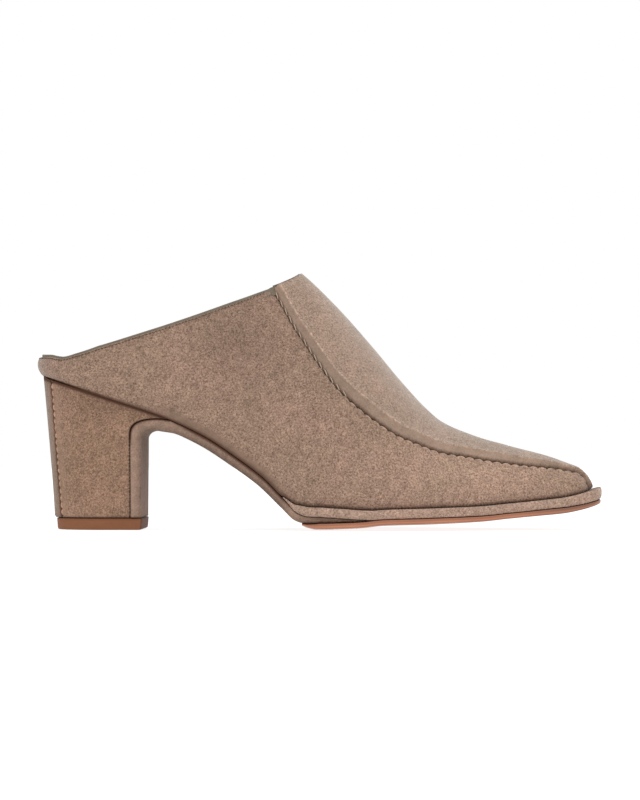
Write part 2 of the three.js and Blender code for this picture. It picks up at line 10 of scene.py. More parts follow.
import bmesh
import bpy
import numpy as np
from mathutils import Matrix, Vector


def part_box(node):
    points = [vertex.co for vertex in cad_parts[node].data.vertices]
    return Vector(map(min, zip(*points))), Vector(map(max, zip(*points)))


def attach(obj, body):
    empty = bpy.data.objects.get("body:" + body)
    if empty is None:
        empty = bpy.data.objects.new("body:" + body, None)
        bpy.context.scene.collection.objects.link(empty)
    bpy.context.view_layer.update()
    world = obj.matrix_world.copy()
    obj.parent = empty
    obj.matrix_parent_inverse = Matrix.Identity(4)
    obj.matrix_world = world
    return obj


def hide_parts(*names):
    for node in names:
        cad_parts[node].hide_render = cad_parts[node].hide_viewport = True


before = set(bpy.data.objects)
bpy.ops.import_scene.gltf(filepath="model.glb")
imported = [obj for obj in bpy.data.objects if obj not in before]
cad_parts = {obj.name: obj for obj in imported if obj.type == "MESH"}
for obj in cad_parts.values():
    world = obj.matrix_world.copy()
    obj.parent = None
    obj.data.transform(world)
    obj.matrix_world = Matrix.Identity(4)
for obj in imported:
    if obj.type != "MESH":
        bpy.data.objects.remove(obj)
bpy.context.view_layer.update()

# %% [markdown]
# ## The last behind the shapes
# A shoemaker works from a last: one form, described by its side view, its plan and the roundness of
# its sections. The same few sizes and short tables that gave the solids are repeated here, in
# millimetres from the back of the rim, because the dressed pieces lie on the same form.

# %% Sizes of the shoe, in millimetres
LENGTH = 246.0
BALL_WIDTH = 75.0
HEEL_HEIGHT = 66.6
RIM_HEIGHT = 10.6
THROAT_HEIGHT = 110.5
THROAT_REACH = 114.5
STRIP_END_POWER = 2.3
TOE_BOX = 7.5
TOE_SPRING = 10.5
TREAD_BACK = 121.0
TREAD_FRONT = 126.0
TREAD_BOW = 0.9
TOE_LEDGE = 4.2
SIDE_LEDGE = 2.4
PANEL_THICK = 1.2
PLATFORM_THICK = 3.9
COVER_THICK = 4.2
COVER_POWER = 3.0
OUTSOLE_THICK = 2.1
TOE_THICKER = 0.7
THICKER_FROM = 205.0
TOP_PIECE_THICK = 5.0
GAP = 0.3
WALL = 1.8
UPPER_LENGTH = LENGTH - TOE_LEDGE - GAP - PANEL_THICK
HEEL_ROUND = 29.0
HEEL_PLAN_POWER = 2.15
RIM_BULGE = 2.5
RIM_LEAN = 0.9
TOE_ROUND = 7.5
TOE_PLAN_POWER = 2.5
TOE_DROP = 5.9
PLATFORM_BACK = 104.5
PLATFORM_RAMP = 12.0
COVER_TAPER = 54.0
COVER_FRONT = 146.0
COVER_TAIL = 4.0
OUTSOLE_BACK = 111.0
OUTSOLE_RAMP = 13.0
OUTSOLE_INSET = 0.5
LAYER_LEAST = 0.35
LEDGE_RAMP = 22.0
LEDGE_LEAST = 0.2
TIP_ROUND = 9.0
TIP_POWER = 2.4

# %% Tables of the form, as shares of the sizes above
UNDERLINE = {
    "at": [0, 0.22, 0.4, 0.45, 0.5, 0.6, 0.7, 0.8, 0.88, 0.93, 0.97, 1],
    "height": [1, 0.857, 0.741, 0.706, 0.665, 0.568, 0.44, 0.296, 0.145, 0.052, 0.014, 0],
}
SPRING = {
    "at": [0, 0.12, 0.2, 0.35, 0.55, 0.65, 0.75, 0.85, 0.93, 1],
    "rise": [0, 0.06, 0.152, 0.197, 0.282, 0.385, 0.48, 0.578, 0.757, 1],
}
PLAN = {
    "at": [0.12, 0.248, 0.372, 0.476, 0.57, 0.65, 0.744, 0.848, 0.93, 1],
    "outer": [0.349, 0.338, 0.345, 0.412, 0.49, 0.478, 0.405, 0.293, 0.205, 0.132],
    "inner": [0.349, 0.318, 0.272, 0.325, 0.435, 0.482, 0.43, 0.31, 0.212, 0.132],
    "outer_swell": [0.035, 0.04, 0.05, 0.04, 0.03, 0.03, 0.03, 0.03, 0.03, 0.02],
    "inner_swell": [0.035, 0.06, 0.12, 0.08, 0.045, 0.035, 0.03, 0.03, 0.03, 0.02],
    "high": [0.1, 0.15, 0.2, 0.2, 0.2, 0.2, 0.22, 0.25, 0.3, 0.3],
    "lean": [0, 0.01, 0.025, 0.035, 0.04, 0.035, 0.025, 0.01, 0, 0],
}
RIDGE = {
    "at": [0, 0.248, 0.4, 0.476, 0.531, 0.604, 0.66, 0.7, 0.731, 0.786, 0.859, 0.931, 1],
    "rise": [1.236, 1.225, 1.133, 1, 0.866, 0.66, 0.485, 0.372, 0.303, 0.236, 0.167, 0.099, 0],
    "full": [2.4, 2.3, 2.1, 2, 2, 2, 2, 2, 2.05, 2.1, 2.2, 2.25, 2.3],
}
TOP_LINE = {
    "at": [0, 0.045, 0.07, 0.1, 0.15, 0.2, 0.262, 0.4, 0.52, 0.742, 0.891, 1],
    "climb": [-0.02, -0.036, -0.058, -0.074, -0.043, -0.006, 0.053, 0.203, 0.338, 0.612, 0.815, 0.98],
}
SEAM = {
    "at": [0.427, 0.475, 0.559, 0.637, 0.7, 0.78, 0.85, 0.916, 0.955, 0.977, 0.99, 0.997, 1],
    "up": [0.844, 0.729, 0.584, 0.557, 0.62, 0.705, 0.73, 0.78, 0.85, 0.874, 0.82, 0.4, 0],
}


# %% [markdown]
# ## Curves through short tables
# A spline through a few rows may overshoot them. This one takes the harmonic mean of the slopes on
# both sides as its tangent, and a level tangent at a peak, so a table with ten rows gives a curve
# that never waves between them.

# %% Smooth curves through table columns
def table_curve(table, name):
    """Cubic Hermite curve through a column; tangents are harmonic means of neighbouring slopes."""
    x = np.array(table["at"], float)
    y = np.array(table[name], float)
    step = np.diff(x)
    slope = np.diff(y) / step
    before, after = slope[:-1], slope[1:]
    both = before * after > 0
    inner = np.zeros(len(x) - 2)
    near, far = 2 * step[1:] + step[:-1], step[1:] + 2 * step[:-1]
    weighed = near / np.where(both, before, 1) + far / np.where(both, after, 1)
    inner[both] = 3 * (step[1:] + step[:-1])[both] / weighed[both]
    tangent = np.concatenate([slope[:1], inner, slope[-1:]])

    def curve(at):
        at = np.asarray(at, float)
        i = np.clip(np.searchsorted(x, at, side="right") - 1, 0, len(x) - 2)
        t = np.clip((at - x[i]) / step[i], 0, 1)
        rest = 1 - t
        inside = (
            y[i] * (1 + 2 * t) * rest**2
            + tangent[i] * step[i] * t * rest**2
            + y[i + 1] * t**2 * (3 - 2 * t)
            - tangent[i + 1] * step[i] * t**2 * rest
        )
        return np.where(at < x[0], y[0] + (at - x[0]) * tangent[0], inside)

    return curve


under_share = table_curve(UNDERLINE, "height")
spring_share = table_curve(SPRING, "rise")
rise_share = table_curve(RIDGE, "rise")
fullness = table_curve(RIDGE, "full")
climb_share = table_curve(TOP_LINE, "climb")
seam_up = table_curve(SEAM, "up")
swell_high = table_curve(PLAN, "high")
lean_share = table_curve(PLAN, "lean")
plan_share = {-1: table_curve(PLAN, "outer"), 1: table_curve(PLAN, "inner")}
swell_share = {-1: table_curve(PLAN, "outer_swell"), 1: table_curve(PLAN, "inner_swell")}
SEAM_START = SEAM["at"][0] * UPPER_LENGTH
SIDES = (-1, 1)
print("the seam starts", round(SEAM_START, 1), "mm from the back")


# %% Shapes of a rise and of a rounding
def ease(t):
    """Smooth step: three squares less two cubes, held between 0 and 1."""
    t = np.clip(t, 0, 1)
    return t * t * (3 - 2 * t)


def lerp(a, b, t):
    """From a to b by a share t: a plus their difference times t."""
    return a + (b - a) * t


def plateau(x, start, rise, end, fall):
    """Climbs to 1 from start on over the length rise, and goes back to 0 from end on over fall."""
    return ease((x - start) / rise) * (1 - ease((x - end) / fall))


def bell(value, middle, width):
    """1 at the middle and falling to both sides: e to the minus of the squared distance in widths."""
    return np.exp(-(((value - middle) / width) ** 2))


def rounding(share, power):
    """Superellipse quarter: one less the share's power, to the inverse power."""
    return (1 - np.clip(share, 0, 1) ** power) ** (1 / power)


def upright(curve, x):
    """Upright length through a layer of unit thickness along the curve: root of 1 + slope squared."""
    return np.hypot(1, (curve(x + 0.05) - curve(x - 0.05)) / 0.1)


# %% The layers under the foot, in side view
def spring(x):
    """Toe spring: nothing over the flat tread, then a share of the whole rise up to the tip."""
    return TOE_SPRING * spring_share(np.clip((x - TREAD_FRONT) / (LENGTH - TREAD_FRONT), 0, None))


def underline(x):
    """The lowest line in side view: down from the heel's seat, flat on the tread, up at the toe."""
    share = np.clip(x, 0, None) / TREAD_BACK
    at_back = HEEL_HEIGHT - COVER_THICK - GAP - TREAD_BOW
    return TREAD_BOW + np.where(share < 1, at_back * under_share(share), 0) + spring(x)


def outsole_room(x):
    """Height that the outsole takes: none under the waist, then its own, and more at the tip."""
    tip = TOE_THICKER * ease((x - THICKER_FROM) / (LENGTH - THICKER_FROM))
    return (OUTSOLE_THICK + GAP) * ease((x - OUTSOLE_BACK) / OUTSOLE_RAMP) + tip


def cover_room(x):
    """Height that the cover takes: upright thickness times one less a power of the way to its end."""
    share = np.clip((x - COVER_TAPER) / (COVER_FRONT - COVER_TAPER), 0, 1)
    return (COVER_THICK * upright(underline, x) + GAP) * (1 - share**COVER_POWER)


def platform_room(x):
    """Height that the rand takes, growing over a short ramp."""
    return (PLATFORM_THICK + GAP) * ease((x - PLATFORM_BACK) / PLATFORM_RAMP)


def cover_under(x):
    """Underside of the cover: the lowest line plus the outsole's room."""
    return underline(x) + outsole_room(x)


def platform_under(x):
    """Underside of the rand: that of the cover plus the cover's room."""
    return cover_under(x) + cover_room(x)


def seat(x):
    """The line on which upper and insole stand."""
    return platform_under(x) + platform_room(x)


# %% The ridge and the top line, in side view
def crown(x):
    """The ridge in side view: the toe box's height, plus a share of what is left to the throat."""
    foot = seat(np.maximum(x, TREAD_BACK)) + TOE_BOX
    return foot + (THROAT_HEIGHT - foot) * rise_share(x / UPPER_LENGTH)


def top_line(x):
    """The collar in side view: the rim, plus a share of the climb to the throat."""
    rim = HEEL_HEIGHT + RIM_HEIGHT
    return rim + (crown(THROAT_REACH) - rim) * climb_share(x / THROAT_REACH)


# %% Sections: half width, height and reach
def half_width(x, side, offset):
    """Plan half width, moved out by offset along its slope and rounded off at the toe."""

    def plain(at):
        return plan_share[side](at / UPPER_LENGTH) * BALL_WIDTH

    cap = rounding((x - UPPER_LENGTH + TOE_ROUND) / (TOE_ROUND + offset), TOE_PLAN_POWER)
    return (plain(x) + offset * upright(plain, x)) * cap


def height(x, offset):
    """From seat to ridge, moved out by offset and rounded off over the last stretch of the toe."""
    cap = rounding((x - UPPER_LENGTH + TOE_DROP) / (TOE_DROP + offset), 2)
    return (crown(x) - seat(x) + offset * np.minimum(1.5, upright(crown, x))) * cap


def reach(x, side, up):
    """How far out the side stands at a share of the height: a superellipse times a low swell."""
    bump = up / swell_high(x / UPPER_LENGTH)
    swell = swell_share[side](x / UPPER_LENGTH) * bump * np.exp(1 - bump)
    return rounding(up, fullness(x / UPPER_LENGTH)) * (1 + swell)


# %% Points of the form, in front and round the back
def skin_point(station, side, up, offset):
    """Point of the form in front of the heel's rounding, as x, y, z in the last axis."""
    start = UPPER_LENGTH - TOE_ROUND
    x = np.where(station <= start, station, start + (station - start) * (TOE_ROUND + offset) / TOE_ROUND)
    lean = lean_share(x / UPPER_LENGTH) * BALL_WIDTH * up
    y = side * half_width(x, side, offset) * reach(x, side, up) + lean
    return np.stack(np.broadcast_arrays(x, y, seat(x) + height(x, offset) * up), -1)


def heel_turn(turn):
    """Shares of the heel's rounding, back and out, from 0 straight behind to 1 at its side."""
    quarter = np.clip(turn, 0, 1) * math.pi / 2
    return np.cos(quarter) ** (2 / HEEL_PLAN_POWER), np.sin(quarter) ** (2 / HEEL_PLAN_POWER)


def back_point(turn, side, up, offset):
    """The same round the back, by the turn from straight behind to the heel's side."""
    back, out = heel_turn(turn)
    rise = height(HEEL_ROUND * (1 - back), offset) * up
    share = rise / RIM_HEIGHT
    bulge = 4 * RIM_BULGE * share * (1 - share) + RIM_LEAN * share
    foot = HEEL_ROUND - (HEEL_ROUND - RIM_BULGE - RIM_LEAN / 2 + offset) * back
    x = foot - bulge * back**3
    edge = skin_point(np.full_like(up, HEEL_ROUND), side, up, offset)[..., 1]
    return np.stack(np.broadcast_arrays(x, edge * out, seat(foot) + rise), -1)


# %% [markdown]
# ## One walk round the upper
# The side leather runs from the toe, along the side and round the heel in one piece. So its columns
# get one running number: 0 to 1 round the back, 1 to 2 along the quarter up to where the seam
# starts, and 2 to 3 from there to the toe. The top of a column is the top line, or the seam.

# %% Columns of the side leather
def column_place(walk):
    """Turn round the back, and the station along the shoe, of each running number."""
    before_toe = (UPPER_LENGTH - TOE_ROUND - SEAM_START) / (UPPER_LENGTH - SEAM_START)
    fore = np.clip(walk - 2, 0, 1)
    straight = SEAM_START + (UPPER_LENGTH - SEAM_START) * fore
    bend = np.clip((fore - before_toe) / (1 - before_toe), 0, 1)
    rounded = UPPER_LENGTH - TOE_ROUND + TOE_ROUND * np.sin(bend * math.pi / 2)
    fore_x = np.where(fore <= before_toe, straight, rounded)
    x = np.where(walk <= 2, lerp(HEEL_ROUND, SEAM_START, np.clip(walk - 1, 0, 1)), fore_x)
    return np.clip(walk, 0, 1), x


def side_point(walk, side, up, offset):
    """Point of the side leather: round the back where the running number is below 1."""
    turn, x = column_place(walk)
    round_back = back_point(turn, side, up, offset)
    along = skin_point(x, side, up, offset)
    return np.where((walk < 1)[..., None], round_back, along)


def column_top(walk):
    """Share of the height at which a column ends: at the top line, then at the seam."""
    turn, x = column_place(walk)
    nominal = np.where(walk < 1, HEEL_ROUND * (1 - heel_turn(turn)[0]), x)
    collar = (top_line(nominal) - seat(nominal)) / height(nominal, 0.0)
    return np.where(walk <= 2, collar, seam_up(x / UPPER_LENGTH))


def strip_place(station, left):
    """Share along the strip, and x where a share of the way to the ridge is left: its end is round."""
    along = (station - SEAM_START) / (UPPER_LENGTH - SEAM_START)
    end = lerp(THROAT_REACH, SEAM_START, left**STRIP_END_POWER)
    return along, lerp(end, UPPER_LENGTH, along)


# %% Lengths along grids
def running_length(points):
    """Distance along the first axis, from its start."""
    steps = np.linalg.norm(np.diff(points, axis=0), axis=-1)
    return np.concatenate([np.zeros((1,) + steps.shape[1:]), np.cumsum(steps, axis=0)])


def rows_at(lengths, values, wanted):
    """Values where the running length reaches what is wanted, column by column."""
    last = lengths.shape[0] - 2
    i = np.clip((lengths[None] <= wanted[:, None]).sum(1) - 1, 0, last)
    low = np.take_along_axis(lengths, i, 0)
    high = np.take_along_axis(lengths, i + 1, 0)
    share = np.clip((wanted - low) / np.maximum(high - low, 1e-9), 0, 1)
    return lerp(np.take_along_axis(values, i, 0), np.take_along_axis(values, i + 1, 0), share)


def distances(near, total, full, count):
    """Rows at near distances, closer on columns shorter than full, then even steps to the total."""
    near = np.array(near)[:, None] * np.minimum(1, total / full)
    share = np.linspace(0, 1, count)[1:, None]
    return np.concatenate([near, near[-1:] + (total - near[-1:]) * share])


# %% [markdown]
# ## From grids to meshes
# A grid of points becomes quads between neighbours. Grids that meet are joined by merging their
# shared points. The millimetres of the last are turned to metres here, and moved to where the
# frame's own pieces stand: the sole's tip and the middle of the heel say where that is.

# %% Where the last stands in the frame
tip_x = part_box("platform")[1][0] * 1000
heel_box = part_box("top_piece")
ORIGIN = np.array([tip_x - LENGTH, (heel_box[0][1] + heel_box[1][1]) * 500, 0.0])
MERGE_METRES = 0.004 / 1000
print("back of the rim lies at", np.round(ORIGIN, 2), "mm in the frame")


def in_frame(points):
    """Millimetres of the last to metres of the frame."""
    return (np.asarray(points) + ORIGIN) / 1000


# %% Grids and directions
def grid_faces(rows, columns, first):
    """Quads between neighbouring points of a grid, as point numbers."""
    i, j = np.meshgrid(np.arange(rows - 1), np.arange(columns - 1), indexing="ij")
    a = first + i * columns + j
    return np.stack([a, a + columns, a + columns + 1, a + 1], -1).reshape(-1, 4)


def on_middle(points):
    """The same points, moved sideways onto the shoe's middle plane."""
    return points * [1, 0, 1]


def unit(vectors):
    """Vectors over their lengths; one of no length stays as it is."""
    return vectors / np.maximum(np.linalg.norm(vectors, axis=-1, keepdims=True), 1e-9)


def surface_normals(points):
    """Unit normals of a grid: the cross product of its two directions."""
    return unit(np.cross(np.gradient(points, axis=0), np.gradient(points, axis=1)))


# %% Pieces
def add_piece(name, mesh, material, merge=0):
    """Joins points closer than merge, turns the faces outwards and makes the mesh a piece of the shoe."""
    work = bmesh.new()
    work.from_mesh(mesh)
    if merge:
        bmesh.ops.remove_doubles(work, verts=work.verts, dist=merge)
        bmesh.ops.dissolve_degenerate(work, edges=work.edges, dist=1e-6)
    bmesh.ops.recalc_face_normals(work, faces=work.faces)
    work.to_mesh(mesh)
    work.free()
    mesh.shade_smooth()
    mesh.materials.append(material)
    piece = bpy.data.objects.new(name, mesh)
    bpy.context.collection.objects.link(piece)
    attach(piece, "root")
    print(name, "has", len(mesh.polygons), "faces")
    return piece


def mesh_piece(name, grids, material, node=None):
    """Joins grids into one piece. A grid is its points and named values for them."""
    faces, first = [], 0
    for grid in grids:
        rows, columns = grid["points"].shape[:2]
        faces.append(grid_faces(rows, columns, first))
        first += rows * columns
    points = np.concatenate([grid["points"].reshape(-1, 3) for grid in grids])
    mesh = bpy.data.meshes.new(name)
    mesh.from_pydata(in_frame(points), [], np.concatenate(faces).tolist())
    for key in sorted(grids[0].get("values", {})):
        parts = [np.broadcast_to(grid["values"][key], grid["points"].shape[:2]).ravel() for grid in grids]
        layer = mesh.attributes.new(key, "FLOAT", "POINT")
        layer.data.foreach_set("value", np.concatenate(parts).astype(np.float32))
    piece = add_piece(name, mesh, material, MERGE_METRES)
    if node:
        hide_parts(node)


# %% [markdown]
# ## Suede
# Suede is leather with its flesh side out: short upright fibres that scatter light. From a distance
# it is matt, with a fine speckle where fibres lie this way or that, soft clouds where a hand or a
# brush has turned the nap, and a pale rim where the surface bends away from the eye. The shader
# follows that: three noises of different size change the colour, the finest also makes the bump,
# and sheen gives the pale rim. A value stored on the mesh paints shade into seams, grooves and
# joints and paints highlights on creases and rims; another paints spots of light and shade into the tone.

# %% A small helper that writes shader nodes
def new_material(name):
    """An empty material, its node tree and its shader."""
    material = bpy.data.materials.new(name)
    material.use_nodes = True
    tree = material.node_tree
    return material, tree, tree.nodes["Principled BSDF"]


def set_inputs(tree, node, **inputs):
    """Sets inputs by name, or by number after a low line, and links one that is another node's output."""
    for key, value in inputs.items():
        socket = node.inputs[int(key[1:])] if key[1:].isdigit() else node.inputs[key.replace("_", " ")]
        if isinstance(value, bpy.types.NodeSocket):
            tree.links.new(value, socket)
        else:
            socket.default_value = value


def add(tree, kind, settings=None, **inputs):
    """Adds a node with its settings and inputs."""
    made = tree.nodes.new(kind)
    for key, value in (settings or {}).items():
        setattr(made, key, value)
    set_inputs(tree, made, **inputs)
    return made


# %% Nodes for patterns and sums
def noise(tree, scale, detail, roughness, distortion=0.0, stretch=None):
    """Noise on the piece's own coordinates, in metres; its feature size is one over the scale."""
    place = add(tree, "ShaderNodeTexCoord").outputs["Object"]
    if stretch:
        place = add(tree, "ShaderNodeMapping", Vector=place, Scale=stretch).outputs[0]
    look = dict(Scale=scale, Detail=detail, Roughness=roughness, Distortion=distortion)
    return add(tree, "ShaderNodeTexNoise", Vector=place, **look).outputs["Fac"]


def span(tree, value, low, high, to_low, to_high):
    """Stretches a value from one span to another, held at its ends."""
    ends = dict(From_Min=low, From_Max=high, To_Min=to_low, To_Max=to_high)
    return add(tree, "ShaderNodeMapRange", Value=value, **ends).outputs["Result"]


def times(tree, colour, factor):
    """Multiplies a colour by a grey value."""
    return add(tree, "ShaderNodeVectorMath", {"operation": "MULTIPLY"}, _0=colour, _1=factor).outputs[0]


def product(tree, *factors):
    """All factors multiplied, one after the other."""
    result = factors[0]
    for factor in factors[1:]:
        result = add(tree, "ShaderNodeMath", {"operation": "MULTIPLY"}, _0=result, _1=factor).outputs[0]
    return result


def stored(tree, name):
    """The value of that name on the mesh."""
    return add(tree, "ShaderNodeAttribute", {"attribute_name": name}).outputs["Fac"]


# %% The suede itself
CLOUDS, MOTTLE, SPECKLE, FIBRES = 38.0, 260.0, 1350.0, 3600.0
# Dark brown of painted shade in seams, grooves, joints and under other parts.
PAINTED_SHADE_COLOUR = (0.08, 0.038, 0.024, 1)
SPECKLE_DARK = (0.36, 0.3, 0.25, 1)
SPECKLE_LIGHT = (1.68, 1.74, 1.8, 1)


def mixed_tint(tree, share, first, second):
    """Colour between two, by a share."""
    return add(tree, "ShaderNodeMix", {"data_type": "RGBA"}, _0=share, _6=first, _7=second).outputs[2]


def mixed_value(tree, share, first, second):
    """Number between two, by a share."""
    return add(tree, "ShaderNodeMix", {"data_type": "FLOAT"}, _0=share, _2=first, _3=second).outputs[0]


def with_painted_shade(tree, colour):
    """Mixes a colour towards the dark brown of painted shade, by the shading value stored on the mesh."""
    return mixed_tint(tree, span(tree, stored(tree, "fold"), 0, 1, 0, 1), colour, PAINTED_SHADE_COLOUR)


def suede(name, colour, warm, grain=1.0, sheen=0.5):
    """Nap colour, mixed towards a warmer one in clouds, times speckle, mottle, tone with painted light and
    painted highlight, then mixed towards painted shade.
    """
    material, tree, shader = new_material(name)
    clouds = noise(tree, CLOUDS, 3.0, 0.6, 0.7)
    mottle = noise(tree, MOTTLE, 3.0, 0.6)
    speckle = noise(tree, SPECKLE, 3.0, 0.8)
    fibres = noise(tree, FIBRES, 2.0, 0.7)
    worn = stored(tree, "worn")
    spread = 0.5 * grain
    share = span(tree, speckle, 0.3, 0.7, 0.5 - spread, 0.5 + spread)
    pressed = mixed_value(tree, worn, share, 0.47)
    tint = mixed_tint(tree, span(tree, clouds, 0.35, 0.68, 0.0, 1.0), (*colour, 1), (*warm, 1))
    speckled = times(tree, tint, mixed_tint(tree, pressed, SPECKLE_DARK, SPECKLE_LIGHT))
    # The tone carries spots of painted light and shade; stored shading below zero is a painted highlight.
    factors = [
        span(tree, mottle, 0.3, 0.7, 1 - 0.14 * grain, 1 + 0.14 * grain),
        span(tree, clouds, 0.3, 0.7, 0.95, 1.05),
        span(tree, stored(tree, "tone"), -1.0, 1.0, 0.0, 2.0),
        span(tree, stored(tree, "fold"), -1.0, 0.0, 2.0, 1.0),
    ]
    nap = times(tree, speckled, product(tree, *factors))
    relief = add(tree, "ShaderNodeMath", {"operation": "ADD"}, _0=speckle, _1=fibres).outputs[0]
    relief = mixed_value(tree, worn, relief, 1.0)
    bump = add(tree, "ShaderNodeBump", Height=relief, Strength=0.6, Distance=0.0003)
    # Sheen fades where shade is painted.
    rim = span(tree, stored(tree, "fold"), 0.0, 1.0, sheen, 0.0)
    set_inputs(tree, shader, Base_Color=with_painted_shade(tree, nap), Normal=bump.outputs[0], Sheen_Weight=rim)
    set_inputs(tree, shader, Roughness=0.95, Specular_IOR_Level=0.1)
    set_inputs(tree, shader, Sheen_Roughness=0.4, Sheen_Tint=(0.84, 0.85, 0.83, 1))
    return material


SUEDE = suede("suede", (0.272, 0.183, 0.13), (0.287, 0.183, 0.135))
PANEL_SUEDE = suede("panel suede", (0.3, 0.212, 0.156), (0.31, 0.212, 0.159), grain=0.85, sheen=0.65)
HEEL_SUEDE = suede("heel suede", (0.247, 0.153, 0.101), (0.262, 0.157, 0.109), sheen=0.35)
COVER_SUEDE = suede("cover suede", (0.29, 0.196, 0.144), (0.295, 0.194, 0.148), grain=0.8, sheen=0.08)
RAND_SUEDE = suede("rand suede", (0.355, 0.245, 0.182), (0.36, 0.235, 0.18), grain=0.9)


# %% [markdown]
# ## Smooth leathers, thread and lining
# The sole's edge is trimmed leather, stained and burnished: streaks run along it, and it shines a
# little. The top piece is a moulded brown lift. The lining is thin smooth leather with fine pores,
# and its cut edge is a darker olive brown. Thread is waxed, so it gets a low gloss.

# %% Smooth materials
STREAKS, PORES, TWIST = 220.0, 900.0, 3000.0


def smooth_leather(name, colour, other, roughness, streak=None, grain=PORES, coat=0.0, specular=0.5):
    """Colour runs between two along streaks; pores make a fine bump and break up the gloss."""
    material, tree, shader = new_material(name)
    streaks = span(tree, noise(tree, STREAKS, 4.0, 0.6, stretch=streak), 0.3, 0.7, 0.0, 1.0)
    tint = mixed_tint(tree, streaks, (*colour, 1), (*other, 1))
    # Painted highlight where the stored shading is below zero, painted shade where it is above.
    shade = span(tree, stored(tree, "fold"), -1.0, 0.0, 2.0, 1.0)
    pores = noise(tree, grain, 3.0, 0.6)
    gloss = span(tree, pores, 0.3, 0.7, roughness - 0.08, roughness + 0.08)
    bump = add(tree, "ShaderNodeBump", Height=pores, Strength=0.25, Distance=0.00012)
    base = with_painted_shade(tree, times(tree, tint, shade))
    set_inputs(tree, shader, Base_Color=base, Normal=bump.outputs[0], Roughness=gloss)
    set_inputs(tree, shader, Specular_IOR_Level=specular, Coat_Weight=coat, Coat_Roughness=0.3)
    return material


TRIMMED = dict(streak=(0.15, 0.15, 2.2), coat=0.15)
MOULDED = dict(streak=(0.4, 0.4, 1.0), grain=1500.0, specular=0.05)
SOLE_LEATHER = smooth_leather("sole leather", (0.32, 0.112, 0.054), (0.41, 0.155, 0.073), 0.45, **TRIMMED)
LIFT = smooth_leather("top piece", (0.2, 0.083, 0.042), (0.225, 0.096, 0.05), 0.6, **MOULDED)
LINING = smooth_leather("lining leather", (0.42, 0.33, 0.25), (0.46, 0.365, 0.28), 0.6)
LINING_EDGE = smooth_leather("lining edge", (0.13, 0.105, 0.072), (0.17, 0.14, 0.1), 0.8)
INSOLE = smooth_leather("insole leather", (0.46, 0.36, 0.27), (0.5, 0.4, 0.31), 0.55)
THREAD = smooth_leather("waxed thread", (0.36, 0.265, 0.185), (0.42, 0.315, 0.22), 0.6, grain=TWIST)
DARK_THREAD = smooth_leather("dark thread", (0.05, 0.028, 0.018), (0.07, 0.04, 0.026), 0.8, grain=TWIST)

# %% [markdown]
# ## The side leather and its pinched edge
# The side is sewn to the middle strip by hand, with stitches about four millimetres apart. Each
# stitch pulls the edge down, and the leather puffs up between two, so the edge runs in scallops.
# That is done in the shape: the edge steps back at each stitch, and a row of small pillows lies
# behind it. Rows of points are close together near the edge, where the shape changes quickly.

# %% Sizes of the seam and of the leather's edge
COLLAR_RISE = 0.5
MARGIN = 7.0
MARGIN_ROWS = [0.12, 0.4, 1.0]
MARGIN_TIP = 12
MARGIN_BELOW = 0.12
STITCH_PITCH = 4.1
PINCH_BACK = 0.7
PINCH_PUFF = 0.5
LASTING_STITCH = 1.6
STITCH_BELOW = 1.2
EDGE_DISTANCES = [0, 0.2, 0.4, 0.65, 0.9, 1.2, 1.55, 1.95, 2.4, 2.9, 3.6, 4.6, 6.0]
EDGE_FULL = 14
SEAM_COLUMNS = 430
SOLE_ROWS = 30
CORNER_BACK, CORNER_LENGTH = 1.3, 2.4
BALL_FROM, BALL_RAMP = 90, 30


# %% Stitches along a seam
def pinch_lobe(run, pitch=STITCH_PITCH):
    """0 at each stitch and 1 half way between two: the root of a half sine's size."""
    return np.abs(np.sin(math.pi * run / pitch)) ** 0.7


def pinch_strength(run, total):
    """Faint at the throat, full from the ball on, and a little less at the toe."""
    at_toe = lerp(1.0, 0.7, ease((run - total + 50) / 45))
    return lerp(0.25, 1.0, ease((run - 8) / 60)) * at_toe * ease((run - 3) / 5)


def side_columns():
    """Running numbers: fewer round the back and along the quarter, many along the seam."""
    back = np.linspace(0, 1, 40, endpoint=False)
    quarter = np.linspace(1, 2, 90, endpoint=False)
    return np.concatenate([back, quarter, np.linspace(2, 3, SEAM_COLUMNS)])


# %% One side's grid
def side_grid(side):
    """Rows run down from the edge by distance, then evenly to the sole; columns are the walk."""
    walk = side_columns()
    fine = np.linspace(1, 0, 70)[:, None]
    tops = column_top(walk)[None]
    ups = tops * fine
    wide = np.broadcast_to(walk, ups.shape)
    lengths = running_length(side_point(wide, side, ups, 0.0))
    total = lengths[-1]
    edge = side_point(walk, side, tops[0], 0.0)
    run = running_length(edge)
    seam_run = run - run[walk <= 2][-1]
    fore = walk > 2
    lobe = np.where(fore, pinch_lobe(seam_run), 1.0)
    strength = np.where(fore, pinch_strength(seam_run, seam_run[-1]), 0.0)
    corner = CORNER_BACK * bell(seam_run, 0, CORNER_LENGTH)
    bare = COLLAR_RISE * (1 - ease(seam_run / 3))
    down = distances(EDGE_DISTANCES, total, EDGE_FULL, SOLE_ROWS)
    retreat = PINCH_BACK * (1 - lobe) * strength * np.exp(-down / 1.5) + (corner + bare) * np.exp(-down / 4)
    up = rows_at(lengths, ups, np.minimum(down + retreat, total))
    wide = np.broadcast_to(walk, up.shape)
    points = side_point(wide, side, up, 0.0)
    grid = dict(points=points, down=down, from_sole=np.maximum(0, total - down), fore=fore)
    return dict(grid, lobe=lobe, strength=strength, run=run)


# %% Relief of the side
def on_forepart(grid):
    """0 over the heel and the waist, 1 from the ball on."""
    return ease((grid["points"][..., 0] - BALL_FROM) / BALL_RAMP)


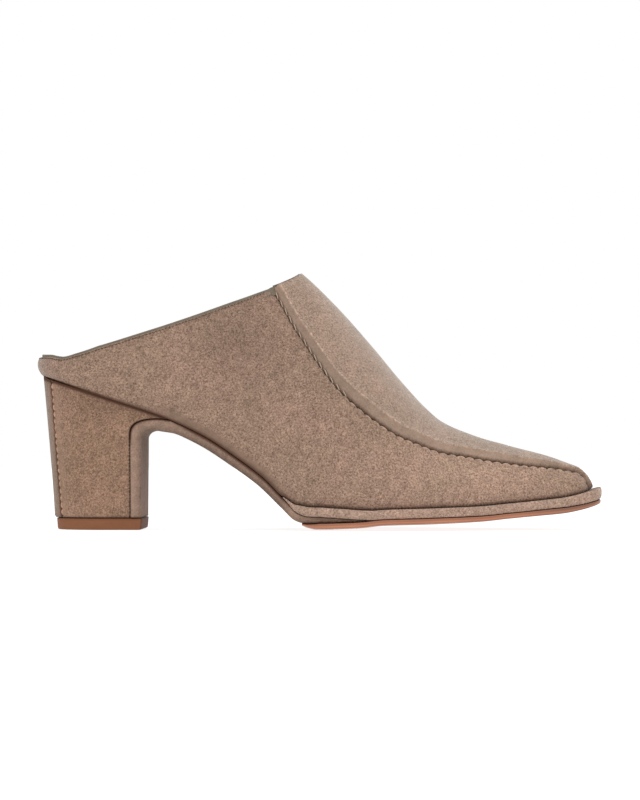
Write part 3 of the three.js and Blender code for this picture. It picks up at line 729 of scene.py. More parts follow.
def side_relief(grid):
    """Millimetres out of the form: rolled edges, pillows behind the seam, a line of stitches."""
    down, lobe, strength = grid["down"], grid["lobe"], grid["strength"]
    rolled = -np.where(grid["fore"], 0.75, 1.0) * bell(down, 0, 0.5)
    pillow = PINCH_PUFF * strength * lobe * bell(down, 1.3, 1.0)
    pull = -0.3 * strength * (1 - lobe) * bell(down, 0, 1.8)
    stitch_line = -0.16 * bell(down, STITCH_BELOW, 0.35) * ~grid["fore"]
    tuck = -lerp(0.75, 0.45, on_forepart(grid)) * np.exp(-((grid["from_sole"] / 0.9) ** 1.5))
    lasting = 0.1 * np.cos(2 * math.pi * grid["run"] / LASTING_STITCH) * np.exp(-grid["from_sole"] / 1.3)
    return rolled + pillow + pull + stitch_line + tuck + lasting


# %% Painted shade and highlight of the side
def side_painted_shading(grid):
    """Painted shade along the seam, in the pinch notches and where the leather meets the sole; painted
    highlights on the scallops' rims; a darker row at the stitches under the top line.
    """
    down, lobe, strength = grid["down"], grid["lobe"], grid["strength"]
    # Painted shade in the seam and its pinch notches, a darker row at the stitches, painted highlight on the
    # scallops' rims.
    at_seam = bell(down, 0, 0.4) * np.where(grid["fore"], 0.6, 0.45)
    stitched = 0.4 * bell(down, STITCH_BELOW, 0.3) * ~grid["fore"]
    pinches = 0.8 * strength * (1 - lobe) ** 1.5 * bell(down, 0, 1.1)
    painted_rim_highlights = -0.45 * strength * lobe * bell(down, 1.0, 0.4)
    # Painted shade where the leather tucks in to the sole, beaded at the lasting stitches' pitch.
    serration = 0.6 + 0.4 * np.cos(2 * math.pi * grid["run"] / LASTING_STITCH)
    from_sole = grid["from_sole"]
    at_sole = lerp(1.0, 0.4, on_forepart(grid)) * bell(from_sole, 0, 0.7)
    shade = at_sole + 0.3 * serration * bell(from_sole, 0, 1.4) + 0.16 * np.exp(-from_sole / 3.0)
    return np.clip(at_seam + stitched + pinches + painted_rim_highlights + shade, -0.8, 1)


# %% Tone, painted light and shade, and wear of the side
def patches(points, spots):
    """Sum of soft spots in side view: each is x, height, half length, half height and strength."""
    x, z = points[..., 0], points[..., 2]
    return sum(strength * bell(x, at, long) * bell(z, up, high) for at, up, long, high, strength in spots)


# Spots of painted light and shade: shade on the upper quarter near the throat and at the back of the rim,
# light on the fore side and the toe.
SIDE_LIGHT_AND_SHADE_SPOTS = [(88, 82, 22, 22, -0.2), (2, 72, 9, 8, -0.16), (196, 24, 34, 16, 0.2), (162, 30, 22, 14, 0.05)]
WAIST_END, WAIST_FADE = 100, 14


def side_worn(grid):
    """Where the nap is pressed smooth: a band above the waist, and the last edge at the seam."""
    x = grid["points"][..., 0]
    band = (1 - ease((grid["from_sole"] - 2.8) / 2.6)) * plateau(x, 45, 20, WAIST_END, WAIST_FADE)
    return np.clip(band + 0.6 * bell(grid["down"], 0, 1.2) * grid["fore"], 0, 1)


def side_tone_and_painted_light(grid):
    """Spots of painted light and shade, and a dull band above the waist."""
    x = grid["points"][..., 0]
    band = -0.16 * (1 - ease((grid["from_sole"] - 3.0) / 3)) * plateau(x, 40, 20, WAIST_END, WAIST_FADE)
    return patches(grid["points"], SIDE_LIGHT_AND_SHADE_SPOTS) + band


# %% Outward directions, and the edge under the foot
def outward(points):
    """Normals that point out of the shoe on either side."""
    normals = surface_normals(points)
    middle = points.mean(axis=(0, 1))
    return normals * np.sign((normals * (points - middle)).sum(-1).mean())


def lasting_margin(points):
    """The leather's edge, pulled in under the foot: rows that move inwards just below the seat."""
    foot = points[-1]
    share = np.array(MARGIN_ROWS)[:, None]
    middle = np.stack([np.clip(foot[:, 0], HEEL_ROUND, UPPER_LENGTH - MARGIN_TIP), 0 * foot[:, 0]], -1)
    inward = unit(middle - foot[:, :2])
    length = np.minimum(MARGIN, 0.9 * np.linalg.norm(middle - foot[:, :2], axis=-1))[:, None]
    flat = foot[None, :, :2] + inward[None] * (length[None] * share[..., None])
    return np.concatenate([flat, (seat(flat[..., 0]) - MARGIN_BELOW)[..., None]], axis=-1)


# %% Build the side leather
side_grids = {side: side_grid(side) for side in SIDES}
shapes = []
for side in SIDES:
    grid = side_grids[side]
    shaped = grid["points"] + outward(grid["points"]) * side_relief(grid)[..., None]
    shaped[:, 0, 1] = 0.0
    shaped[-1, :, 2] = seat(shaped[-1, :, 0])
    margin = lasting_margin(shaped)
    margin[:, 0, 1] = 0.0
    values = {"fold": side_painted_shading(grid), "tone": side_tone_and_painted_light(grid), "worn": side_worn(grid)}
    values = {key: np.pad(value, ((0, len(MARGIN_ROWS)), (0, 0)), "edge") for key, value in values.items()}
    shapes.append(dict(points=np.concatenate([shaped, margin]), values=values))
mesh_piece("side_leather", shapes, SUEDE, "upper")

# %% [markdown]
# ## The middle strip
# The strip starts at the throat and ends at the toe. It was pressed over a form, so a sharp crease
# runs a few millimetres inside its seam, with a smooth border between them. Its rows are counted
# from the seam towards the ridge, and the same pinches that scallop the side dent its edge.

# %% The strip's grid
STRIP_ROWS = [0, 0.2, 0.42, 0.7, 1.0, 1.4, 1.9, 2.5, 3.1, 3.7, 4.2, 4.6, 5.0, 5.4, 5.9, 6.6, 7.6, 9.0]
CREASE_INSET = {"at": [0, 20, 45, 70, 100, 150, 170], "inset": [3.4, 4.4, 5.3, 5.0, 4.2, 3.2, 2.6]}
crease_inset = table_curve(CREASE_INSET, "inset")
STRIP_FULL = 18
STRIP_BACK = 0.3
CREASE_HIGH = 0.35


def seam_angle(station):
    """Angle whose sine is the seam's share of the height; the ridge has a right angle."""
    return np.arccos(np.clip(rounding(seam_up(station / UPPER_LENGTH), 2), 0, 1))


def strip_grid(side):
    """Rows run from the seam to the ridge by distance, columns from the throat to the toe."""
    station = column_place(np.linspace(2, 3, SEAM_COLUMNS))[1]
    low = seam_angle(station)
    fine = np.sin(lerp(low[None], math.pi / 2, np.linspace(0, 1, 60)[:, None]))
    wide = np.broadcast_to(station, fine.shape)
    lengths = running_length(skin_point(wide, side, fine, 0.0))
    total = np.maximum(lengths[-1], 1e-6)
    inward = distances(STRIP_ROWS, total, STRIP_FULL, 26)
    up = rows_at(lengths, fine, np.minimum(inward, total))
    left = (math.pi / 2 - np.arcsin(np.clip(up, 0, 1))) / np.maximum(math.pi / 2 - low, 1e-6)
    along, x = strip_place(station, left)
    x = x + STRIP_BACK * np.exp(-along * 60)
    run = running_length(skin_point(x[0], side, up[0], 0.0))
    inset = crease_inset(run) * np.minimum(1, total / STRIP_FULL)
    return dict(x=x, up=up, inward=inward, inset=inset, run=run, along=along)


# %% Relief, painted shade and painted highlight of the strip
def strip_lift(grid):
    """Millimetres above the form: a rolled edge, a border that climbs to the crease, then level."""
    inward, inset = grid["inward"], grid["inset"]
    sharp = lerp(1.0, 0.35, ease(grid["run"] / grid["run"][-1] * 1.2 - 0.2))
    level = GAP + PANEL_THICK
    step = lerp(1.0, 0.6, ease((grid["along"] - 0.2) / 0.2))
    border = lerp(step, level + CREASE_HIGH, np.clip(inward / inset, 0, 1) ** 1.4)
    middle = level + CREASE_HIGH * bell(inward, inset, 2.2)
    ridge = 0.3 * sharp * np.exp(-np.abs(inward - inset) / 0.5)
    rolled = -1.4 * bell(inward, 0, 0.4)
    strength = pinch_strength(grid["run"], grid["run"][-1])
    dents = -0.3 * strength * (1 - pinch_lobe(grid["run"])) * bell(inward, 0, 1.1)
    ends = -0.6 * bell(grid["run"], 0, 0.35)
    return np.where(inward < inset, border, middle) + ridge + rolled + dents + ends


def strip_painted_shading(grid):
    """Painted shade at the seam and its pinches; a painted highlight along the crease, broken in an uneven
    wave.
    """
    inward, inset = grid["inward"], grid["inset"]
    toe_fade = lerp(1.0, 0.5, ease((grid["along"] - 0.95) / 0.03))
    # Painted shade in the seam and its pinches, and a painted highlight on the crease's ridge.
    at_seam = 0.6 * bell(inward, 0, 0.5) * toe_fade
    broken = 0.65 + 0.35 * np.sin(grid["run"] * 2.3 + 2 * np.sin(grid["run"] * 0.9))
    painted_crease_highlight = -0.7 * broken * bell(inward, inset, 0.4) * lerp(1.0, 0.2, grid["along"])
    pinches = 0.5 * (1 - pinch_lobe(grid["run"])) ** 2 * bell(inward, 0, 0.8)
    return np.clip(at_seam + painted_crease_highlight + pinches, -0.8, 1)


def strip_border(grid):
    """1 on the smooth border between seam and crease, 0 on the strip's middle."""
    return ease(grid["inward"] / 0.8) * (1 - ease((grid["inward"] - grid["inset"] + 0.7) / 0.6))


# %% Build the strip
strip_grids = {side: strip_grid(side) for side in SIDES}
halves = []
for side in SIDES:
    grid = strip_grids[side]
    points = skin_point(grid["x"], side, grid["up"], strip_lift(grid))
    border = strip_border(grid)
    tone = lerp(-0.13, 0.0, ease((grid["along"] - 0.2) / 0.3)) * border
    halves.append(dict(points=points, values={"fold": strip_painted_shading(grid), "worn": 0.7 * border, "tone": tone}))
halves[1]["points"][-1] = halves[0]["points"][-1]
mesh_piece("middle_strip", halves, PANEL_SUEDE, "centre_panel")

# %% [markdown]
# ## Lining and collar edge
# Inside, the suede is lined with thin smooth leather. At the top line the lining stands up a
# millimetre past the suede as a raw, darker edge, which gives the mule its crisp line from the side.
# The band is a small profile carried along the collar: at each place a tangent, the surface's own
# normal and their cross product, which points up out of the edge, carry the profile's points.

# %% The collar line and its frame
COLLAR_BAND = {
    "up": [-3.6, -1.4, -0.5, -0.1, 0.0, -0.15, -0.7, -2.2],
    "out": [-1.7, -1.0, -0.45, -0.6, -0.95, -1.3, -1.6, -1.8],
    "on_strip": [-1.7, -0.9, 0.2, 1.1, 1.25, 0.6, -1.6, -1.8],
}
BACK_LIFT = 0.5
RIM_COLUMNS = 160


def collar_line(side, offset):
    """From straight behind, along the top line, then over the strip's end to the ridge."""
    back = np.linspace(0, 1, 50, endpoint=False)
    walk = np.concatenate([back, np.linspace(1, 2, RIM_COLUMNS - 50, endpoint=False)])
    rim = side_point(walk, side, column_top(walk), offset)
    strip = strip_grids[side]
    end = skin_point(strip["x"][1:, 0] - STRIP_BACK, side, strip["up"][1:, 0], offset)
    return np.concatenate([rim, end])


def collar_frame(side):
    """Place, upward direction and normal: the upward one is the cross product of the other two."""
    place = collar_line(side, 0.0)
    normal = unit(collar_line(side, 0.4) - collar_line(side, -0.4))
    tangent = unit(np.gradient(place, axis=0))
    upward = unit(np.cross(normal, tangent))
    return place, upward * np.sign(upward[0, 2]), normal


# %% The collar's band
def collar_grid(side):
    """The band's profile at each place: so far up, so far out, with other rows on the strip."""
    place, upward, normal = collar_frame(side)
    up = np.array(COLLAR_BAND["up"])[:, None, None]
    on_strip = ease((np.arange(len(place)) - RIM_COLUMNS + 2) / 3)[None, :, None]
    tilt = 0.9 * np.clip(normal[:, 2:] / np.maximum(upward[:, 2:], 0.3), 0, 1)
    back = BACK_LIFT * bell(place[:, :1], 0, 2.5)
    lift = lerp((tilt + back)[None], 0.35, on_strip)
    out = lerp(*(np.array(COLLAR_BAND[key])[:, None, None] for key in ("out", "on_strip")), on_strip)
    points = place + upward * (up + lift) + normal * out
    points[:, 0, 1] = 0.0
    points[:, -1, 1] = place[-1, 1]
    return dict(points=points)


# %% Build the collar edge
mesh_piece("collar_edge", [collar_grid(side) for side in SIDES], LINING_EDGE)


# %% The lining inside
def lining_grids(side):
    """The inside skin, one wall behind the outside: round the back and sides, then under the strip."""
    walk = np.concatenate([np.linspace(0, 1, 24, endpoint=False), np.linspace(1, 3, 120)])
    up = column_top(walk)[None] * np.linspace(1, 0, 24)[:, None]
    below = side_point(np.broadcast_to(walk, up.shape), side, up, -WALL)
    below[:, 0, 1] = 0.0
    station = column_place(np.linspace(2, 3, 61))[1]
    share = np.linspace(0, 1, 20)[:, None]
    across = np.sin(lerp(seam_angle(station)[None], math.pi / 2, share))
    x = strip_place(station, 1 - share)[1]
    return [dict(points=below), dict(points=skin_point(x, side, across, -WALL))]


mesh_piece("lining", [grid for side in SIDES for grid in lining_grids(side)], LINING)

# %% [markdown]
# ## Layers under the foot
# The rand is a strip of the same suede, folded round a thin board, so its edge is round. The outsole
# is cut leather with a square, trimmed edge. Both have the same kind of plan: the upper's plan plus
# a ledge, rounded off at the tip. A layer is one grid, whose rows are its edge's profile with a last
# row on the middle line above and below, so that the flats close too.


# %% A layer of the sole
LAYER_COLUMNS = 260
DENSE_FROM, DENSE_AT = 0.8, 0.93


def layer_half(x, side, tip, inset):
    """Plan half width: the upper's plus a ledge, times a rounding towards the tip."""
    plan = plan_share[side](np.minimum(1, x / UPPER_LENGTH)) * BALL_WIDTH
    ledge = lerp(LEDGE_LEAST, SIDE_LEDGE, ease((x - PLATFORM_BACK) / LEDGE_RAMP))
    return (plan + ledge - inset) * rounding((x - tip + TIP_ROUND) / (TIP_ROUND - inset), TIP_POWER)


def layer_grid(side, start, tip, share, inset, low, high):
    """Rows: middle of the underside, the edge's profile from bottom to top, middle of the top."""
    t = np.linspace(0, 1, LAYER_COLUMNS)
    turn = np.clip((t - DENSE_FROM) / (1 - DENSE_FROM), 0, 1) * math.pi / 2
    bend = np.where(t < DENSE_FROM, t / DENSE_FROM * DENSE_AT, DENSE_AT + (1 - DENSE_AT) * np.sin(turn))
    inset = np.array(inset)[:, None]
    x = lerp(start, tip - inset, bend)
    z = lerp(low(x), high(x), np.array(share)[:, None])
    return closed(np.stack([x, side * layer_half(x, side, tip, inset), z], -1), ends=(1, 0))


def closed(edge, rows=(1, 1), ends=(1, 1)):
    """Adds a row on the middle plane before and after the edge's rows, and such a column at its ends."""
    flat = on_middle(edge)
    edge = np.concatenate([flat[: rows[0]], edge, flat[len(flat) - rows[1] :]])
    flat = on_middle(edge)
    return np.concatenate([flat[:, : ends[0]], edge, flat[:, flat.shape[1] - ends[1] :]], axis=1)


def first_at(room):
    """Where a layer is thick enough to start."""
    x = np.arange(90, 140, 0.1)
    return x[np.argmax(room(x) >= GAP + LAYER_LEAST)]


def round_profile(count, depth):
    """Half a superellipse: the share runs up, the inset is deepest at both ends."""
    turn = np.linspace(-1, 1, count)
    share = 0.5 + 0.5 * np.sin(turn * math.pi / 2)
    inset = depth * (1 - np.sqrt(1 - np.abs(2 * share - 1) ** 2.6))
    return share, inset


# %% The rand
RAND_STITCH = 1.5
RAND_ROWS = 15
TIP_OVERHANG = 1.0
TIP_OVERHANG_FROM = 222.0


def tip_overhang(x):
    """The rand hangs a little over the outsole at the tip."""
    return TIP_OVERHANG * ease((x - TIP_OVERHANG_FROM) / (LENGTH - TIP_OVERHANG_FROM))


def rand_low(x):
    """The rand's underside: the line under it, less the overhang at the tip."""
    return platform_under(x) - tip_overhang(x)


def rand_top(x):
    """The rand's top, just below the leather that is pulled in over it."""
    return seat(x) - MARGIN_BELOW - 0.1


def rand_grid(side):
    """The layer's grid with a round edge and small ribs near its top, where the leather is lasted on."""
    share, inset = round_profile(RAND_ROWS, 0.85)
    points = layer_grid(side, first_at(platform_room), LENGTH, share, inset, rand_low, rand_top)
    row = np.concatenate([[0], share, [1]])[:, None]
    run = running_length(points[1 + RAND_ROWS // 2])
    points[..., 2] += 0.09 * np.sin(2 * math.pi * run / RAND_STITCH) * bell(row, 0.93, 0.1)
    # Painted shade in the joints above and below the rand, and darker towards its underside.
    dark = 0.4 * bell(row, 0, 0.03) + 0.3 * bell(row, 1, 0.03) + 0.12 * (1 - row) ** 2
    return dict(points=points, values={"fold": np.clip(dark, 0, 1)})


mesh_piece("rand", [rand_grid(side) for side in SIDES], RAND_SUEDE, "platform")

# %% The outsole
BOW_FLAT = 0.35
BOW_ROWS = [0, BOW_FLAT, 0.45, 0.55, 0.65, 0.75, 0.85, 0.93]
TOE_DARK, TOE_DARK_FROM, TOE_DARK_RAMP = 0.35, 205, 25
BOW_FULL_FROM = 0.45 * BALL_WIDTH


def outsole_top(x):
    """The outsole's top: one gap below what lies on it, less the overhang at the tip."""
    return cover_under(x) - GAP - tip_overhang(x)


def outsole_grid(side):
    """The layer's grid, with rows under it that bow down from the edge to a flat middle."""
    share = np.array([0, 0.03, 0.1, 0.22, 0.4, 0.6, 0.8, 0.93, 1])
    inset = np.array([0.75, 0.45, 0.2, 0.05, 0, 0, 0.05, 0.15, 0.4])
    start, tip = first_at(outsole_room), LENGTH - OUTSOLE_INSET
    points = layer_grid(side, start, tip, share, inset, underline, outsole_top)
    narrow = np.array(BOW_ROWS)[:, None]
    half = np.abs(points[1:2, :, 1])
    down = TREAD_BOW * (1 - (np.clip(narrow - BOW_FLAT, 0, 1) / (1 - BOW_FLAT)) ** 2)
    under = points[1:2] * np.stack([np.ones_like(narrow), narrow, np.ones_like(narrow)], -1)
    under[..., 2] -= down * np.minimum(1, half / BOW_FULL_FROM) ** 2
    row = np.concatenate([[0] * len(BOW_ROWS), share, [1]])[:, None]
    # The edge's own stained layers, darker at top and bottom with a paler line between, with painted shade
    # under the rand along the top; darker towards the toe.
    dark = 0.3 * ease((row - 0.45) / 0.2) + 0.4 * bell(row, 0, 0.2) - 0.3 * bell(row, 0.35, 0.14)
    dark[: len(BOW_ROWS)] = 0
    dark = dark + TOE_DARK * ease((points[:1, :, 0] - TOE_DARK_FROM) / TOE_DARK_RAMP) * (row > 0)
    return dict(points=np.concatenate([under, points[1:]]), values={"fold": dark})


sole = [outsole_grid(side) for side in SIDES]
mesh_piece("sole_leather", sole, SOLE_LEATHER, "outsole")

# %% [markdown]
# ## The block heel
# The heel is wood, covered with suede. One piece wraps its back, sewn to the sides by a seam on each
# side that looks stitched by hand, and a wide strip covers its front and runs on under the waist.
# The heel's plan is a D: round behind, straight sides, flat in front. Rows are shares of its height.

# %% Sizes of the heel
HEEL_BASE_WIDTH = 43.0
HEEL_BASE_BACK = 8.0
HEEL_SEAT_BACK = 2.9
BREAST_AT = 46.8
BREAST_COVER = 4.6
NOSE_AT = 59.0
NOSE_FROM = 0.72
NOSE_POWER = 2.8
NOSE_AHEAD = 3.0
BREAST_ROUND = 4.2
NOSE_FILL = 2.6
NOSE_FILL_FROM = 48.0
NOSE_FILL_LENGTH = 16.0
HEEL_INSET = 1.2
HEEL_BACK_ROUND = 23.0
HEEL_BACK_POWER = 2.2
TOP_PIECE_INSET = 0.8
HEEL_FOOT = TOP_PIECE_THICK + GAP
BACK_SEAM_LOW, BACK_SEAM_HIGH = 11.8, 7.4
BACK_STITCH = 3.0
BACK_SEAM_BEFORE, BACK_SEAM_WIDTH = 2.2, 5.4
HEEL_TUCK = 0.8
TOPLINE_STITCH = 1.5
CORNER_FROM, CORNER_RAMP = 0.62, 0.12


# %% Plan and front line of the heel
def on_corner(share):
    """0 on the heel's straight front, 1 where it turns forward under the waist."""
    return ease((share - CORNER_FROM) / CORNER_RAMP)


def heel_half(x, side, share):
    """Half width at x and a share of the height: narrows from the seat's plan to the base."""
    at_seat = plan_share[side](np.maximum(HEEL_ROUND, x) / UPPER_LENGTH) * BALL_WIDTH - HEEL_INSET
    return lerp(HEEL_BASE_WIDTH / 2, at_seat, ease(share / 0.92) ** 0.8)


def heel_back(count):
    """Shares of the heel's rounded back, forward and out: a superellipse's quarter."""
    t = np.sin(np.linspace(0, 1, count) * math.pi / 2)
    return 1 - np.sqrt(1 - t**2) ** (2 / HEEL_BACK_POWER), t ** (2 / HEEL_BACK_POWER)


def heel_front(share, shift):
    """The line between heel and cover: straight up, then turning forward to the nose."""
    past = np.clip((share - NOSE_FROM) / (1 - NOSE_FROM), 0, None)
    forward = NOSE_AT - BREAST_AT + BREAST_COVER
    x = BREAST_AT - BREAST_COVER + forward * past**NOSE_POWER
    rise = seat(x) - GAP - HEEL_FOOT
    slope = NOSE_POWER * past ** (NOSE_POWER - 1) * forward / (1 - NOSE_FROM) / rise
    away = np.hypot(1, slope)
    return x + shift / away, HEEL_FOOT + rise * share - shift * slope / away


# %% The heel's grid
def heel_grid(side):
    """Columns go round from the back to the front edge by distance; rows go up by share."""
    straight = np.linspace(0.03, NOSE_FROM, 60)[:-1]
    share = np.concatenate([[0, 0.004, 0.012], straight, np.linspace(NOSE_FROM, 1, 70)])
    front, _ = heel_front(share, -GAP)
    back_at = lerp(HEEL_BASE_BACK, HEEL_SEAT_BACK, share**1.2)
    forward, out = heel_back(120)
    x_back = back_at + HEEL_BACK_ROUND * forward[:, None]
    x_side = lerp(x_back[-1:], front, np.linspace(0, 1, 60)[1:, None])
    x = np.concatenate([x_back, x_side])
    width = np.concatenate([out, np.ones(len(x_side))])[:, None]
    y = side * heel_half(x, side, share) * width
    top = seat(x) - MARGIN_BELOW / 2 + HEEL_TUCK * bell(x, HEEL_SEAT_BACK, 3)
    z = lerp(HEEL_FOOT, top, share)
    fine = np.stack([x, y, z], -1)
    lengths = running_length(fine)
    seam_x = lerp(BACK_SEAM_LOW, BACK_SEAM_HIGH, share)
    seam_at = np.take_along_axis(lengths, (x < seam_x).sum(0)[None], 0)[0]
    before = seam_at - BACK_SEAM_BEFORE
    behind = before * np.linspace(0, 1, 14, endpoint=False)[:, None]
    at_seam = before + np.linspace(0, BACK_SEAM_WIDTH, 34, endpoint=False)[:, None]
    ahead = lerp(before + BACK_SEAM_WIDTH, lengths[-1], np.linspace(0, 1, 50)[:, None])
    wanted = np.concatenate([behind, at_seam, ahead])
    points = np.stack([rows_at(lengths, fine[..., k], wanted) for k in range(3)], -1)
    return dict(points=points, past_seam=wanted - seam_at, from_front=lengths[-1] - wanted, share=share)


# %% Relief of the heel
def heel_relief(grid):
    """Out of the form: sunk seam, a scalloped edge in front of it, edges rolled in."""
    past = grid["past_seam"]
    level = grid["points"][..., 2]
    beat = pinch_lobe(level, BACK_STITCH)
    groove = -0.7 * bell(past + 0.3 * (beat - 0.5), 0, 0.42)
    scallops = 0.5 * beat * bell(past, 1.0, 0.6) - 0.3 * (1 - beat) * bell(past, 0, 1.1)
    strip = 0.3 * ease((-past - 0.1) / 0.5)
    rolled = -0.5 * bell(grid["from_front"], 0, 0.35)
    foot = -0.5 * bell(level, HEEL_FOOT, 0.4)
    return groove + scallops + strip + rolled + foot


# %% Painted shade and highlight, tone and wear of the heel
def heel_painted_shading(grid):
    """Painted shade in the back seam and its notches, at the joint and at the foot, painted shadow under the
    upper, painted highlights on the scallops' rims, and dark stitch dashes along the joint.
    """
    past = grid["past_seam"]
    level = grid["points"][..., 2]
    beat = pinch_lobe(level, BACK_STITCH)
    # Painted shade in the back seam and its notches, painted highlight on the scallops' rims.
    seam = (0.6 + 0.4 * (1 - beat)) * bell(past + 0.35 * (beat - 0.5), 0, 0.42)
    notches = 1.2 * (1 - beat) ** 1.3 * bell(past, 0.5, 0.75)
    painted_rim_highlights = -0.8 * beat * bell(past, 1.1, 0.45)
    # Dark stitch dashes along the front joint and solid painted shade round the corner; painted shade at the
    # foot.
    stitches = 0.5 + 0.5 * np.sign(np.cos(2 * math.pi * level / TOPLINE_STITCH) + 0.2)
    joint = bell(grid["from_front"], 0, 0.4) * lerp(0.75 * stitches, 1.0, on_corner(grid["share"]))
    foot = 0.7 * bell(level, HEEL_FOOT, 0.5)
    # Painted shadow under the upper's edge.
    below = seat(grid["points"][..., 0]) - GAP - level
    shade = bell(below, 0, 0.9) + 0.22 * np.exp(-below / 3.5)
    return np.clip(seam + notches + painted_rim_highlights + joint + foot + shade, -0.8, 1)


# First spot: painted shadow under the upper's edge; second: a faint lighter patch.
HEEL_SHADOW_AND_TONE_SPOTS = [(34, 54, 16, 5, -0.17), (30, 30, 12, 22, 0.03)]


def heel_tone_and_painted_shadow(grid):
    """Painted shadow under the upper, a pressed pale band in front of the back seam, a dull back strip."""
    past = grid["past_seam"]
    band = 0.1 * bell(past, 3.4, 1.6)
    back = -0.24 * ease((-past - 0.1) / 0.4)
    return patches(grid["points"], HEEL_SHADOW_AND_TONE_SPOTS) + band + back


def heel_worn(grid):
    """Pressed smooth in front of the back seam, and half as much on the back strip."""
    past = grid["past_seam"]
    return np.clip(0.6 * bell(past, 3.0, 1.8) + 0.35 * ease((-past) / 0.4), 0, 1)


# %% Build the heel
heel_grids = []
for side in SIDES:
    grid = heel_grid(side)
    shaped = grid["points"] + outward(grid["points"]) * heel_relief(grid)[..., None]
    shaped[0, :, 1] = 0.0
    values = {"fold": heel_painted_shading(grid), "tone": heel_tone_and_painted_shadow(grid), "worn": heel_worn(grid)}
    values = {key: np.pad(value, ((0, 1), (1, 1)), "edge") for key, value in values.items()}
    heel_grids.append(dict(points=closed(shaped, rows=(0, 1)), values=values))
mesh_piece("heel_cover", heel_grids, HEEL_SUEDE, "heel")

# %% [markdown]
# ## The waist cover
# The cover is a strip about four millimetres thick. From the side it runs down the front of the heel,
# turns a round corner, and thins out under the ball of the foot. Each station is a pair of points, one
# on its back line and one on its visible face, and rows between the two give the round edge.

# %% The cover's stations
COVER_TURN = 104.0


def cover_low(x):
    """The cover's face under the waist, filled out in the corner at the heel."""
    return cover_under(x) - NOSE_FILL * (1 - ease((x - NOSE_FILL_FROM) / NOSE_FILL_LENGTH))


def cover_stations():
    """Back and front points in side view: down the heel, round the corner, then under the waist."""
    low = np.linspace(0, NOSE_FROM, 50)
    back_x, back_z = heel_front(low, 0.0)
    parts = [(back_x, back_z, np.full_like(back_z, BREAST_AT), back_z)]
    t = np.linspace(0, 1, 60)[1:]
    share = lerp(NOSE_FROM, 1, np.sin(t * math.pi / 2) ** 0.8)
    x, z = heel_front(share, 0.0)
    landing = BREAST_AT + BREAST_ROUND
    turn = np.clip(t * 1.5, 0, 1) * math.pi / 2
    turning = t * 1.5 <= 1
    straight_on = lerp(landing, NOSE_AT + NOSE_AHEAD, np.clip(t * 3 - 2, 0, 1))
    front_x = np.where(turning, lerp(BREAST_AT, landing, 1 - np.cos(turn)), straight_on)
    front_z = np.where(turning, lerp(back_z[-1], cover_low(landing), np.sin(turn)), cover_low(front_x))
    parts.append((x, z, front_x, front_z))
    end = COVER_FRONT - COVER_TAIL
    t = np.linspace(0, 1, 200)[1:]
    x, under = lerp(NOSE_AT, end, t), lerp(NOSE_AT + NOSE_AHEAD, end, t)
    parts.append((x, platform_under(x) - GAP + 0.1, under, cover_low(under)))
    return [np.concatenate(column) for column in zip(*parts)]


# %% The cover's grid
def cover_grid(side):
    """Rows from the front face's middle over its round edge to the back line."""
    back_x, back_z, front_x, front_z = cover_stations()
    t = np.array([1, 0.985, 0.95, 0.9, 0.82, 0.72, 0.6, 0.45, 0.3, 0.2, 0.12, 0.06, 0.02, 0])[:, None]
    face = 1.5 * (1 - rounding((t - 0.55) / 0.45, 2))
    joint = 0.5 * (1 - rounding((0.1 - t) / 0.1, 2))
    x, z = lerp(back_x, front_x, t), lerp(back_z, front_z, t)
    share = np.minimum(1, (z - HEEL_FOOT) / (seat(x) - GAP - HEEL_FOOT))
    y = side * (heel_half(x, side, np.where(x > NOSE_AT, 1, share)) - face - joint)
    depth = t * np.hypot(back_x - front_x, back_z - front_z)
    corner = on_corner(share) * np.ones_like(depth)
    # Painted shade along the edge at the joint with the heel, deeper round the corner, and at the foot;
    # painted shadow under the upper's edge along the waist.
    edge = lerp(0.35, 1.0, corner) * bell(depth, 0, lerp(0.3, 0.6, corner))
    edge = edge + 0.3 * corner * np.exp(-depth / 1.2)
    foot = 0.7 * bell(z, HEEL_FOOT, 0.5) * (x < NOSE_AT)
    waist = plateau(x, NOSE_AT, 12, COVER_TURN, 8)
    dark = np.clip(edge + foot + 0.85 * waist * (1 - ease((depth - 0.9) / 1.6)), 0, 1)
    # Tone with painted shade: darker under the waist, lighter towards the ball, and painted shade towards
    # the front face and the underside.
    tone = 0.02 - 0.2 * waist + 0.12 * ease((x - COVER_TURN) / 8) - 0.3 * ease((t - 0.3) / 0.6)
    values = {"fold": dark, "tone": tone, "worn": np.full_like(depth, 0.5)}
    values = {key: np.pad(value, 1, "edge") for key, value in values.items()}
    return dict(points=closed(np.stack([x, y, z], -1)), values=values)


# %% Build the cover
mesh_piece("waist_strip", [cover_grid(side) for side in SIDES], COVER_SUEDE, "waist_cover")


# %% [markdown]
# ## Top piece
# The top piece is the lift that wears down and is changed. It has the heel's plan, smooth sides, a
# slight taper towards the floor, and painted shade along the joint where it is glued on and on its front
# face.

# %% Build the top piece
TOP_FRONT_PAINTED_SHADE = 0.7
ROUND_COLUMNS = 60
CORNER = 1.2


